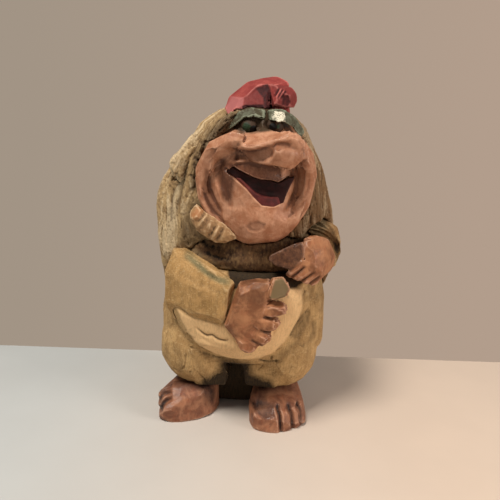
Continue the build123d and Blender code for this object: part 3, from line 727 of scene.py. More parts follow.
def carve_mouth_parts():
    lining = Carving((-15, -32, 120), (21, -26, 141), FINE_CELL)
    lining.add(prism(MOUTH_OUTLINE, -30.2, -27))
    lining.distance -= 0.25
    lining.cut(ball((5, -36.5, 131.5), (14, 8, 5), (0, 12, 0)), 1)
    lip = Carving((-8, -40, 118), (20, -26, 133), FINE_CELL)
    lip.add(stack(HEAD_RINGS))
    lip.even()
    lip.add(ball(*CHIN), 4)
    lip.distance += 0.5 + 0.28 * np.clip(lip.axes[2] - 122, 0, 9)[None, None, :]
    lip.keep(prism(LIP_OUTLINE, IN_FRONT, MOUTH_FLOOR - 0.5), 0.5)
    return [Skin(carving).dress([(0.08, 1.8, 2)]) for carving in (lining, lip)]


def carve_eye(name):
    carving = node_block(name, FINE_CELL / 2, margin=1.5)
    carving.add(ball(EYE_CENTRES[name], EYE_RADII))
    skin = Skin(carving)
    skin.whittle(facet=2.4, strength=0.8, seed=29)
    return skin.dress([(0.12, 1.2, 5)])


# Each row is a point of the brow's lower edge and one of its upper edge
BROWS = {
    "right_brow": (
        (-17.4, -17.6, 154.4, -18.2, -16.8, 155.6), (-11.2, -21.8, 158.6, -13, -19.6, 161.6),
        (-6.4, -24, 163, -8.6, -21, 166), (-0.8, -25, 164.6, -2.6, -21.6, 168),
        (3, -24.4, 163.2, 2.8, -21.4, 167.2),
    ),
    "left_brow": (
        (6.4, -24.6, 162.6, 5.6, -21.4, 167.2), (8.4, -25.4, 162.8, 9, -22, 168),
        (13.2, -24.6, 162.2, 14, -21, 167.4), (18, -21.6, 159.8, 19.4, -18.6, 164),
        (21.8, -18.2, 155.2, 23.6, -15.8, 158.4),
    ),
}


def carve_brow(name, head):
    """A hood of flat facets over an eye."""
    carving = node_block(name, FINE_CELL, margin=2)
    for first, last in zip(BROWS[name], BROWS[name][1:]):
        edges = [row[part:part + 3] for row in (first, last) for part in (0, 3)]
        carving.add(hull(edges + [(x, y + 6, z) for x, y, z in edges], 0.4), 0.3)
    if name == "left_brow":
        carving.add(hull([(7, -26.2, 162.6), (8, -24.6, 167), (13.6, -23.4, 167), (14.6, -25, 163.6),
                          (11.5, -26.4, 161.4), (10, -20, 164)], 0.4), 0.4)
    carving.cut_piece(head, clearance=-0.3)
    skin = Skin(carving)
    skin.whittle(facet=3.6, strength=0.8, seed=4)
    return skin.dress([(0.16, 1.1, 6)])


def carve_tuft(head):
    carving = node_block("jaw_tuft", FINE_CELL, margin=2)
    carving.add(limb((-27.6, -23.6, 115.6, 2.6), (-25.4, -26, 112.2, 4.8), (-20, -28, 108.6, 5.6),
                     (-14.4, -28.6, 106.2, 5), (-9.4, -28.6, 105.8, 2.8), flat=(0, 1, 0.3), flatness=0.85))
    carving.even()
    carving.cut_piece(head, clearance=0.25)
    skin = Skin(carving)
    skin.whittle(facet=3.6, strength=1.0, seed=5)
    relief = Relief(carving)
    relief.strokes((
        [(-28.4, 110.6), (-26, 113.4), (-23.4, 117.4)], [(-25.4, 107), (-23.4, 110.4), (-21, 114.6)],
        [(-21.4, 104), (-19.6, 107.4), (-17.4, 112)], [(-17.4, 102), (-16, 105.6), (-14.2, 110)],
    ), 2.0, -0.9, 0.3)
    relief.strokes((
        [(-27, 111), (-25, 114), (-23, 116.4)], [(-19.8, 105), (-18.4, 108.4), (-17, 111)],
        [(-15.8, 103.6), (-14.6, 106.6), (-13.6, 109.4)],
    ), 0.7, -0.5, 0.35, sharp=True)
    relief.patch([(-31, 114), (-27, 119), (-23, 118), (-27, 112)], 0, 2, zone=0.8)
    return skin.dress([(0.16, (1.0, 1.0, 2.4), 8)], relief, limit_y=-10)


def carve_trousers():
    low, high = np.array(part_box("trousers")) / MILLIMETRE
    carving = Carving((low[0] - 1, low[1] - 1, 0), high + 1, PLAIN_CELL)
    carving.from_node("trousers", softness=1.1)
    # The legs nearly touch, and the wood between them isn't cut through
    carving.add(hull([
        (-26, -22, 18.6), (-9.4, -20, 18.2), (-8.4, 10, 18.2), (-26, 12, 18.6), (-26, -24, 40),
        (-10.4, -24, 40), (-10, 10, 40), (-26, 12, 40),
    ], 1.5), 1.5)
    carving.add(hull([
        (1.2, -20, 19.2), (18, -23, 19.2), (18, 10, 19.2), (0.8, 10, 19.2), (-0.8, -23, 30), (-1.6, -24, 40),
        (18, -26, 40), (18, 10, 40), (-1, 10, 40),
    ], 1.5), 1.5)
    carving.add(hull([(-16, -3, 1.4), (7, -3, 1.4), (7, 8, 1.4), (-16, 8, 1.4), (-12, -9, 40), (4, -9, 40),
                      (4, 8, 40), (-12, 8, 40)], 1), 0.5)
    skin = Skin(carving)
    skin.whittle(facet=12, strength=0.6, seed=9)
    relief = Relief(carving)
    # The belly's lower crescent stands out and is painted light in cream
    crescent = [
        (-36, 64.4), (-30.9, 53.4), (-23.7, 45.6), (-15.1, 41.1), (-6.5, 39.2), (7.4, 40), (14.6, 43.4),
        (20.4, 50), (24.6, 58), (28.4, 68), (28, 78), (20, 80), (10, 70), (-10, 60), (-28, 62),
    ]
    relief.patch(crescent, 0.8, 2.2, -0.2, zone=1.1)
    relief.stroke([(-26, 57.6), (-23, 55), (-20, 53.4), (-17, 54), (-14, 52.2), (-10.6, 51.6), (-8, 52.6)],
                  1.3, -0.9, 0.7, sharp=True)
    relief.stroke([(-24, 52.6), (-19, 49.6), (-13, 48), (-8, 47.8)], 1.6, -0.3, 0.15)
    relief.stroke([(-28, 42.4), (-22.4, 40), (-17.2, 38.4), (-10, 37.4), (-2, 37.4)], 2.6, -0.7, 0.25)
    relief.stroke([(7, 38.4), (11, 37), (15.6, 37.4), (20.5, 38.6)], 1.4, -0.7, 0.5)
    relief.stroke([(10, 40), (18, 41), (25, 46), (30, 52)], 3.2, -0.5, 0.2)
    # An oval gouge at the left, and the moss-brown folds above it
    relief.patch([(23.6, 52), (26.6, 61), (30.4, 66), (34, 64), (33.6, 57), (29.6, 51.4), (25.6, 50)],
                 -0.8, 2.8, 0.4)
    relief.stroke([(23.4, 51.6), (25.6, 57.6), (29.4, 64.4)], 1.6, -0.5, 0.3)
    relief.strokes((
        [(31, 82), (33.4, 76), (34.4, 69)], [(37, 83), (38.4, 75), (38, 67)],
        [(26.6, 80), (28.6, 75), (30.4, 70)], [(36, 58), (37, 52), (35, 45)],
        [(40.6, 80), (42, 70), (42, 58)],
    ), 3.2, -0.4, 0.3)
    relief.strokes((
        [(33, 62), (36.4, 54), (36, 44), (31, 32)], [(22, 36), (27, 32), (30, 26)],
        [(-40, 44), (-36, 36), (-34, 26)], [(-30, 40), (-24, 32), (-22, 24)],
        [(14, 35), (15, 29), (13, 22)],
    ), 3.0, -0.35, 0.1)
    # Darker under the hands, and painted shade between the legs and along the hems
    relief.patch([(-12, 92), (26, 92), (36, 86), (24, 79.6), (4, 80.6), (-8, 79)], 0, 3, 1.8)
    relief.patch([(-12, 36), (2, 36), (4, 27), (15, 23), (16, 0), (-24, 0), (-22, 22), (-13, 27)], 0, 9, 1.3)
    relief.patch([(-44, 22), (-22, 20.6), (-20, 16), (-44, 16)], 0, 3, 0.4)
    relief.patch([(6, 23), (20, 21), (36, 22), (36, 16), (6, 16)], 0, 3, 0.45)
    return skin.dress([(0.10, (1.1, 1.1, 16), 11), (0.06, (0.6, 0.6, 8), 12)], relief, limit_y=0, stain_y=12)


def carve_chest(head):
    carving = node_block("chest", PLAIN_CELL)
    carving.from_node("chest", softness=1.2)
    relief = Relief(carving)
    relief.strokes((
        [(-38, 107), (-35.6, 102), (-32, 98.6), (-27, 97)], [(-34.6, 106), (-32.4, 102.6), (-29, 100.6)],
        [(-30.6, 103.4), (-27.4, 101.4), (-23, 100.6)], [(-26, 99.6), (-21, 97.6), (-15, 97.4)],
        [(-24, 94.6), (-17, 92.6), (-10, 92.4)], [(18, 108), (24, 106), (29, 107.4)],
        [(16, 104.6), (21, 103.4), (25, 104.4)],
    ), 1.6, -1.0, 0.6)
    relief.patch([(-33, 97), (-23, 92), (-12, 88), (-4, 87), (-4, 82), (-36, 92)], 0, 3, zone=1.0)
    relief.patch([(18, 103), (22, 108), (30, 110), (40, 108), (34, 105), (26, 103)], 0, 3, zone=0.9)
    relief.patch([(-42, 108), (-28, 108), (-22, 100), (-30, 97), (-42, 100)], 0, 4, zone=0.6)
    carving.relieve(relief)
    carving.cut_piece(head, clearance=0.5)
    skin = Skin(carving)
    fur = (noise(skin.points / (1.7, 1.7, 3.6), 13) + 0.8 * noise(skin.points / (0.9, 0.9, 2.2), 14)
           + 0.8 * noise(skin.points / (4, 4, 5), 15))
    skin.push(0.4 * fur)
    skin.traits["fur"] = np.clip(0.5 + 0.45 * fur, 0, 1)
    skin.read_shape()
    skin.note(relief)
    return skin


SLEEVE_GROWTH = {"right_sleeve": 0.35, "left_sleeve": -0.95}


def carve_sleeve(name):
    carving = node_block(name, PLAIN_CELL)
    carving.from_node(name, softness=0.8)
    carving.distance -= SLEEVE_GROWTH[name]
    skin = Skin(carving)
    relief = Relief(carving)
    if name == "right_sleeve":
        skin.whittle(facet=9, strength=0.7, seed=15)
        relief.stroke([(-34, 93), (-26, 89.6), (-17, 85), (-8, 82.6)], 2.4, -0.6, 0.2, zone=1.0)
        relief.stroke([(-7.6, 80), (-9.4, 70), (-12, 60.6)], 1.2, 0.4, -0.3)
        relief.stroke([(-36, 84), (-27, 82), (-18, 79.5), (-10, 77)], 3.0, -0.3, 0.2)
    else:
        # Strands of hair fall over this sleeve
        for shift in (0, 2.2, 4.4, 6.6):
            line = [(14, 103 + shift), (24, 106.4 + 0.9 * shift), (33, 106.6 + shift), (41, 103 + shift),
                    (45.6 + 0.5 * shift, 96), (46.4 + 0.4 * shift, 86)]
            relief.stroke(line, 1.3, -1.0, 0.45)
        relief.patch([(12, 100), (12, 112), (40, 113), (38, 104), (26, 102)], 0, 3, zone=1.0)
    return skin.dress([(0.11, (1.0, 1.0, 12), 16), (0.11, (0.7, 0.7, 3), 17)], relief, limit_y=6, stain_y=6)


# The left hand is carved beside its place and moved to it
LEFT_HAND_SHIFT = -1.8


def carve_left_hand():
    carving = node_block("left_hand", FINE_CELL, margin=4)
    carving.add(hull([
        (29, -34, 96.4), (34, -33.6, 93.4), (38.4, -31.8, 90), (33, -31.6, 101.6), (38.8, -29.2, 98.6),
        (42.4, -27, 93.4), (28.5, -28, 104.8), (33.5, -26, 107), (39.3, -23, 106), (43.3, -21.5, 102),
        (46.2, -20, 96), (46.2, -21, 90.4), (42.8, -25, 86.6), (30, -14, 103), (40, -12, 101), (43, -12, 92),
        (39, -14, 84), (32, -18, 84),
    ], 0.8))
    # The fingers lie side by side, parted by knife cuts
    carving.add(hull([
        (28.6, -34.4, 96), (21, -36, 90.4), (19.8, -35, 88.6), (24, -35.4, 86.4), (29.6, -34.4, 83.6),
        (33.8, -32.6, 82), (37.6, -30.6, 83.4), (42, -26.4, 87), (38.6, -31.6, 90.4), (34.4, -33.8, 93.6),
        (24, -26, 88), (34, -20, 82), (40, -18, 86),
    ], 0.6), 1.0)
    carving.add(hull([
        (28, -31, 104.6), (22, -32.4, 102.6), (16, -33.6, 99.6), (11, -34.6, 96.6), (16, -35.6, 92.4),
        (22, -35.8, 91), (28.6, -33.8, 95), (23, -34.8, 97), (27, -22, 100), (20, -25, 92), (13, -28, 95),
    ], 0.6), 1.0)
    skin = Skin(carving)
    skin.whittle(facet=7, strength=0.8, seed=18)
    relief = Relief(carving)
    relief.strokes((
        [(30, 92.6), (27, 90), (24.8, 88), (22.4, 86)], [(35, 89.6), (32, 87.4), (29.6, 85.6), (26.8, 83.6)],
        [(38.8, 87.4), (36.2, 85.6), (33.6, 83.8), (31.6, 81.4)],
    ), 1.3, -1.2, 0.65, sharp=True)
    relief.strokes((
        [(27.6, 92.8), (24.4, 90.2), (21.2, 88.4)], [(33.4, 91), (30, 88.4), (26.4, 85.8)],
        [(37, 88.2), (33.8, 86), (30.6, 83.6)],
    ), 1.8, 0.4, -0.4)
    relief.stroke([(29.4, 104.8), (28.6, 100.6), (29.6, 96), (31, 93.8)], 2.4, -0.3, 0.2)
    # Painted shade on the thumb
    relief.patch([(8, 97), (17, 104), (27, 108), (28.6, 97), (22, 88), (15, 89)], 0, 2.4, 0.85)
    skin.dress([(0.05, 1.5, 19)], relief)
    skin.points[:, 0] += LEFT_HAND_SHIFT
    return skin


PALM_OUTLINE = (
    (-4.4, 81.8), (1.4, 84.4), (9.4, 85), (10.8, 80), (10.4, 72.8), (10, 66), (8, 58), (2.4, 50.4),
    (-2, 49.6), (-11.2, 61), (-8.2, 71.8), (-5.6, 78),
)
KNUCKLES = (
    ((6, 72.6), (13.4, 74.2), (17.6, 73.4), (19.6, 71), (18, 68.4), (13, 66.8), (5, 67)),
    ((4, 67), (12.8, 67), (16, 64.8), (16.4, 62), (13.2, 58.8), (6, 58.6), (2, 62)),
    ((1, 60), (9.6, 59.4), (13, 57.6), (12.6, 54.4), (9, 51.2), (2, 51.8), (-1, 56)),
    ((-5, 55.4), (2, 55.4), (7, 52.4), (5.6, 48.8), (1.8, 47.2), (-3, 49.2)),
)


def carve_right_hand():
    carving = node_block("right_hand", FINE_CELL, margin=3)
    carving.add(wedge(PALM_OUTLINE, -33, -42, 0.8, 0.9))
    for outline in KNUCKLES:
        carving.add(wedge(outline, -35, -42.8, 0.7, 0.9), 1.4)
    carving.add(hull([
        (8.5, -41.4, 77.4), (12, -41, 86), (17, -39.8, 87), (20.3, -38.8, 81.8), (18.4, -39.4, 77.4),
        (14, -42.4, 77), (10, -35, 79), (12, -34, 86), (18, -34, 85), (17, -34, 78),
    ], 0.4), 0.3)
    skin = Skin(carving)
    skin.whittle(facet=5, strength=0.9, seed=20)
    relief = Relief(carving)
    relief.strokes((
        [(19, 68), (15.4, 67.4), (11.6, 67), (8, 68)], [(16.6, 59.8), (13.2, 59.2), (9.6, 59.8), (6.4, 61)],
        [(10.4, 51), (6.8, 53), (2.6, 55.4)],
    ), 1.3, -0.9, 0.8, sharp=True)
    relief.stroke([(19, 76.6), (14, 75.6), (9.6, 75.2)], 1.3, -0.9, 0.5)
    # Painted shade on the back of the hand beside the cuff
    relief.patch([(-6, 80), (-1, 76), (-2, 64), (-3, 52), (-12, 60), (-9, 72)], 0, 3, 0.15)
    relief.patch([(-3, 76), (9, 73), (10, 86), (-5, 86)], 0, 3, 0.4)
    relief.patch([(-5, 77.4), (0.4, 80.2), (2.2, 83.4), (-4.4, 82.4)], 0.3, 1.0, -0.5)
    for x, z in ((14.4, 70.6), (10.6, 63), (7.6, 55.6), (1.4, 51.6)):
        relief.patch([(x - 4, z - 1.6), (x - 1, z + 2.2), (x + 3, z + 1.6), (x + 2.4, z - 2)], 0, 3, -0.3)
    relief.patch([(10.8, 77.4), (18.4, 77.2), (20.4, 82), (17, 87.4), (13, 86.6)], 0, 0.8, zone=1.0)
    return skin.dress([(0.05, 1.5, 21)], relief)


# Each foot's corners, the cuts between its toes, and its planes: outline, height, edge and stain
FEET = {
    "right_foot": (
        (
            (-45.6, -20, 0), (-44.6, -26.6, 0), (-41, -30, 0), (-35.6, -30.8, 0), (-27, -28, 0),
            (-20.6, -24, 0), (-15.4, -18, 0), (-13, -8, 0), (-16, 4, 0), (-24, 11, 0), (-35, 10, 0),
            (-42, 0, 0), (-44.6, -12, 0), (-47, -22, 9), (-46, -26.4, 8), (-41.6, -31, 6.6), (-36.4, -30, 10),
            (-29.8, -28, 12), (-21.6, -24, 13), (-15.8, -17, 13), (-13, -8, 13), (-46, -24, 14.6),
            (-41, -22, 17), (-31, -20.6, 19), (-22.4, -17, 19.4), (-17, -8, 20.4), (-20, 4, 20.4),
            (-33, 4, 19), (-38, -8, 17.4), (-44.6, -14, 10),
        ),
        (
            ((-51, 12.4), (-45.8, 14.4), (-43, 16.4), (-39, 17.6)),
            ((-51, 6.6), (-45.4, 10.6), (-43.4, 13.6), (-38.6, 15)),
            ((-50, 0.4), (-44.4, 6.4), (-42.2, 10.6), (-38, 12.6)),
        ),
        (
            # Painted shade on the inner side, beside the gap between the legs
            ([(-26, 21), (-10, 21), (-10, 4), (-18, 7)], 0, 6, 0.8),
            ([(-47, 9.6), (-42, 11.6), (-40, 8), (-46, 4)], 0, 1.6, 0.2),
            ([(-42, 9), (-30, 6), (-28, 0), (-42, 0)], 0, 2.4, -0.3),
        ),
    ),
    "left_foot": (
        (
            (4, -22, 0), (5.2, -29, 0), (8.6, -33.4, 0), (12.8, -36, 0), (17.6, -36.8, 0), (22, -36, 0),
            (27, -33, 0), (31, -30, 0), (34.2, -26.6, 0), (35.2, -20, 0), (34.6, -10, 0), (30, 0, 0),
            (22, 4.6, 0), (12, 4, 0), (5, -4, 0), (4.6, -28, 7), (7.6, -31.8, 10), (14.6, -33.8, 8.6),
            (20.6, -33.2, 10), (27, -30.6, 10.2), (32.4, -26.8, 10), (35, -21, 9.6), (4.2, -18, 13),
            (11, -21.6, 16), (20, -22, 16.6), (28.6, -18.4, 16.4), (33.6, -12, 14), (30, -4, 20.2),
            (18, -12, 20.4), (7, -8, 20), (8, 0, 20.4), (24, 2, 20.4),
        ),
        (
            ((18.6, 13), (19.6, 10.6), (20.8, 7.4), (22, -3)),
            ((24.4, 12.8), (26, 10.4), (27.4, 7.4), (28.4, -2)),
            ((29.4, 12.6), (30.8, 10.6), (32, 8), (33, 0)),
        ),
        (
            ([(5, 10.6), (9, 13), (17.4, 12.8), (17.6, 8.4), (12.6, 6.4)], -0.5, 1.6, 0.55),
            # Painted shade on the inner side, beside the gap between the legs
            ([(3, 21), (14, 21), (13, 13), (3, 8)], 0, 3, 0.5),
            ([(5, 3), (8, 8.6), (13, 5.4), (18, 7.6), (20, 2), (13, -2)], 0, 1.6, -0.3),
        ),
    ),
}


def carve_foot(name):
    corners, toe_cuts, planes = FEET[name]
    carving = node_block(name, FINE_CELL, margin=2)
    carving.add(hull(corners, 1.6))
    carving.distance = np.maximum(carving.distance, -carving.axes[2][None, None, :])
    skin = Skin(carving)
    skin.whittle(facet=8, strength=0.8, seed=22)
    relief = Relief(carving)
    relief.strokes(toe_cuts, 1.5, -1.8, 0.9, sharp=True)
    for plane in planes:
        relief.patch(*plane)
    # Painted shade along the hems
    relief.patch([(-48, 22), (36, 22), (36, 17), (-48, 17)], 0, 4, 0.7)
    return skin.dress([(0.05, 1.6, 23)], relief, limit_y=-12, stain_y=-12)


# Hair: a mantle with a recess beside the brow, a lock like an ear and an outer layer at -X.
# Rows of four are x, y, z and a radius, rows of three are corners, and pairs are x and z.
FRONT_RECESS = (
    (-17, -16.6, 161, 0.8), (-21.6, -17.4, 155.4, 1.3), (-25, -17.4, 148.6, 1.3), (-27.6, -16.6, 141, 1.0),
)
EDGE_NOTCHES = ((-25.8, 148.6), (-28.3, 140.8), (-30, 132))
TEMPLE_LOCK = (
    (-9, -18.4, 165, 1.4), (-12, -18.8, 162.8, 2.2), (-16.4, -18.2, 158.6, 2.6), (-20.6, -17.8, 153.6, 2.2),
    (-24, -17, 147.6, 1.6),
)
OUTSIDE_LEFT = [
    (-62, 176), (-18, 170), (-20.6, 166.4), (-26.2, 162.6), (-30.2, 158.8), (-31.8, 155.4), (-34.2, 150.8),
    (-37.6, 146.2), (-41.2, 142), (-43.8, 139), (-45, 136.2), (-46.4, 132.6), (-49.2, 127.4), (-51.2, 122),
    (-52.6, 116), (-62, 116),
]
EAR_LOCK = (
    (-43.6, -6, 139.2), (-43.8, -7, 136.6), (-40.4, -15.6, 134.8), (-39.6, -16.4, 130.8), (-37.8, -17, 129.4),
    (-35.8, -18.4, 134), (-34.6, -18.8, 140.6), (-36.4, -17.4, 144.6), (-40, -12.6, 142.4), (-30, -14, 138),
    (-31, -6, 144), (-38, -4, 144), (-38, -4, 133), (-32, -8, 131), (-30, -16, 148),
)
OUTER_LOCK = (
    (-43, 4, 134, 3), (-46, 1, 127, 4), (-47.4, -1, 119, 4.2), (-47.4, -2, 109, 4), (-46.8, -2, 98, 3.6),
    (-45.6, -2, 86, 3.2), (-44, -1, 74, 2.6),
)
OUTER_GROOVE = (
    (-43.4, -6.6, 129.6, 1.2), (-46, -8, 123, 1.5), (-46.4, -9.4, 115, 1.7), (-45.8, -10, 106, 1.5),
    (-45, -10, 95, 1.1),
)
# The strands flow down from a crown. Each row bends them: its reach, how far it turns them, and a seed
CROWN_Y = 8
STRAND_BENDS = ((26, 0.085, 30), (9, 0.03, 29))
# Each row is a size of strand: its width, length, height, seed, and if it has a sharp ridge
STRANDS = (
    (8, 55, 0.9, 31, False), (3.2, 30, 0.5, 32, True), (1.5, 18, 0.42, 33, True), (0.8, 8, 0.26, 34, True),
)
BEND_ROUND = 36
STRAND_ROUND = 40


def hair_strands(points):
    """How far each strand of hair stands up, from noise drawn out along its flow."""
    x, y, z = points.T
    turn = np.arctan2(y - CROWN_Y, x)
    down = 0.75 * np.hypot(x, y - CROWN_Y) - z

    def along_flow(around, length, seed):
        places = np.stack([np.cos(turn) * around, np.sin(turn) * around, down / length], axis=1)
        return noise(places, seed)

    for reach, angle, seed in STRAND_BENDS:
        turn = turn + angle * along_flow(BEND_ROUND / reach, reach, seed)
    strands = np.zeros(len(points))
    for width, length, height, seed, ridged in STRANDS:
        value = np.abs(along_flow(STRAND_ROUND / width, length, seed))
        strands += height * ((1 - 2.4 * value) if ridged else (2.2 * value - 0.6))
    return strands


def carve_hair(head, chest):
    carving = node_block("hair", HAIR_CELL)
    carving.from_node("hair", softness=1.2)
    carving.distance -= 0.2
    carving.add(limb(*OUTER_LOCK), 2.2)
    carving.cut(limb(*OUTER_GROOVE), 1.0)
    carving.cut(prism(OUTSIDE_LEFT, -40, 18), 1.5)
    carving.cut(ball((-40.5, -14, 129.6), (4.4, 6, 3)), 1.2)
    carving.add(hull(EAR_LOCK, 1.0), 0.6)
    carving.cut(limb((-37.4, -20.6, 144, 0.8), (-35.4, -21.6, 139, 1.2), (-36, -20.4, 133, 1.0)), 0.6)
    carving.cut(limb(*FRONT_RECESS), 1.0)
    carving.add(limb(*TEMPLE_LOCK), 0.8)
    relief = Relief(carving)
    for x, z in EDGE_NOTCHES:
        relief.stroke([(x + 1.4, z - 1.2), (x - 0.4, z), (x - 3, z + 1.6)], 1.2, -0.6, 0.3)
    # Painted shade beside the cheek and by the jaw tuft
    relief.patch([(-3, 169), (-14, 166), (-24, 156), (-31, 142), (-32, 126), (-25, 126), (-22, 144),
                  (-8, 157)], 0, 5, 0.75)
    relief.patch([(-37, 98), (-36, 108), (-30, 122), (-20, 122), (-20, 92), (-35, 93)], 0, 5, 0.65)
    relief.stroke([(-22, 164.6), (-28, 160.6), (-33, 154), (-39, 144)], 3.0, 0, -0.6)
    relief.strokes((
        [(-31, 160), (-36, 150), (-40, 143)], [(-40, 128), (-42, 118), (-42, 106)],
        [(-34, 140), (-36, 128), (-40, 112)],
    ), 1.6, -0.5, 0.5)
    carving.relieve(relief)
    carving.cut_piece(head, clearance=0.35)
    carving.cut_piece(chest, clearance=0.1)
    skin = Skin(carving)
    skin.whittle(facet=7, strength=0.7, seed=28)
    strands = hair_strands(skin.points)
    rough = noise(skin.points / 1.3, 35) + 0.7 * noise(skin.points / 0.7, 36)
    # The strands stand higher at +X
    strength = 0.5 + 0.35 * np.clip(skin.points[:, 0] / 20, 0, 1)
    skin.push(strength * strands + 0.16 * rough - 0.2)
    skin.traits["strand"] = np.clip(0.45 + 0.42 * strands + 0.14 * rough, 0, 1)
    skin.read_shape()
    skin.note(relief)
    skin.traits["zone"] = np.clip((skin.points[:, 0] - 16) / 8, 0, 1)
    return skin


def carve_cap(head, hair):
    carving = node_block("cap", FINE_CELL, margin=1.5)
    carving.add(hull([
        (-17.6, 0, 163.6), (-16.4, -8, 163.2), (-12.6, -12, 163), (-7, -16.6, 163), (3, -18, 163),
        (10, -17.6, 163), (15.6, -12, 164.4), (17.4, 2, 164.6), (15, 12, 164.6), (7, 20, 164.6),
        (-6, 20, 164.6), (-14, 13, 164.6), (-14.6, -1, 173), (-10.6, -9, 172.4), (-6.8, -12.6, 172.6),
        (-12.4, 8, 172), (-5, 15, 172.6), (6, 15, 173), (13, 8, 174), (-7.8, 0, 179.2), (-3.4, 1, 181.6),
        (-1.6, -10.6, 178), (3, 2, 183.4), (7.2, 1, 184), (10.7, 0, 183.6), (15.4, -4, 180.6),
        (2, -10, 179.6), (8, -10.6, 179.4), (4, 9, 180), (10, 8, 179.4),
    ], 0.2))
    # The dark valley between the body of the cap and its folded end
    carving.cut(hull([(3.4, -12.4, 178.8), (9.4, -20, 163), (2.6, -20, 163), (1.6, -18.6, 171),
                      (8, -9.6, 176), (7.4, -12, 163)], 0.3), 0.3)
    carving.cut_piece(head, clearance=0.2)
    carving.cut_piece(hair, clearance=0.2)
    relief = Relief(carving)
    # Painted shade on the front facets, left lighter on the upper front facet
    relief.patch([(-6.8, 172.8), (-1.6, 178.2), (4.6, 180), (8.4, 173), (9.8, 163), (-7.6, 163)],
                 0, 0.7, 0.95)
    relief.patch([(-7.8, 168.6), (2.8, 169.6), (3.4, 163), (-7.6, 163)], -0.3, 0.6, 0.5)
    relief.patch([(-6.6, 172.4), (-4, 175), (-1.4, 177.2), (2.6, 173), (3, 169.8), (-7.4, 169)],
                 0, 0.8, -0.55)
    relief.stroke([(-6.6, 172.4), (-1.6, 177.6), (2.4, 179)], 0.7, 0.2, -0.5)
    # Painted light on the facets at -X
    relief.patch([(-18, 163), (-14.8, 173), (-7, 172.6), (-7.6, 163)], 0, 0.8, zone=1.0)
    skin = Skin(carving)
    skin.whittle(facet=6.5, strength=0.9, seed=30)
    return skin.dress([(0.05, (1.4, 1.4, 3), 25)], relief)


def carve_cap_tip(head, hair):
    carving = node_block("cap_tip", FINE_CELL, margin=1.5)
    carving.add(hull([
        (5.4, -11, 179.8), (8, -13.6, 179.2), (12.6, -14, 178.9), (16.6, -11, 178.8), (19.2, -11.6, 175.8),
        (19.7, -11.6, 172.4), (18.5, -13, 169.3), (15.4, -16.6, 168.8), (10.4, -17.6, 169.2),
        (8.4, -17.4, 170), (9.6, -18.2, 173.2), (12.4, -17.6, 176), (15.6, -17.2, 174.6),
        (15.8, -17.4, 170.4), (7, -8, 168), (16, -6, 169), (17.6, -6, 176), (9, -6, 180),
    ], 0.3))
    carving.cut_piece(head, clearance=0.2)
    carving.cut_piece(hair, clearance=0.2)
    relief = Relief(carving)
    relief.patch([(5, 181), (9.6, 174), (8.4, 168), (20, 168), (20, 176), (16, 180)], 0, 1.6, 0.35)
    # Where the end is cut across, and three gouge cuts over it
    relief.patch([(12.2, 174.2), (15, 175), (16.4, 171.6), (14.8, 169.4), (12, 170)], -0.4, 0.8, 0.55)
    relief.strokes((
        [(7.9, 173.6), (10.6, 178.6)], [(9.4, 172.6), (12.2, 177.8)], [(11, 172.8), (13.8, 177.2)],
    ), 0.7, -0.6, 0.7, sharp=True)
    relief.strokes(([(8.7, 173.2), (11.4, 178)], [(10.2, 172.8), (13, 177.4)]), 0.5, 0.3, -0.6)
    skin = Skin(carving)
    skin.whittle(facet=4.5, strength=0.7, seed=26)
    return skin.dress([(0.05, 1.4, 27)], relief)


BUMP_DEPTH = 0.4
SPECULAR = 0.22
CHIP_CENTRE = (11, -25.4, 164.8)


def colour(red, green, blue):
    """A colour for a shader, from the values that a screen shows."""
    return (*(((value / 255 + 0.055) / 1.055) ** 2.4 for value in (red, green, blue)), 1)


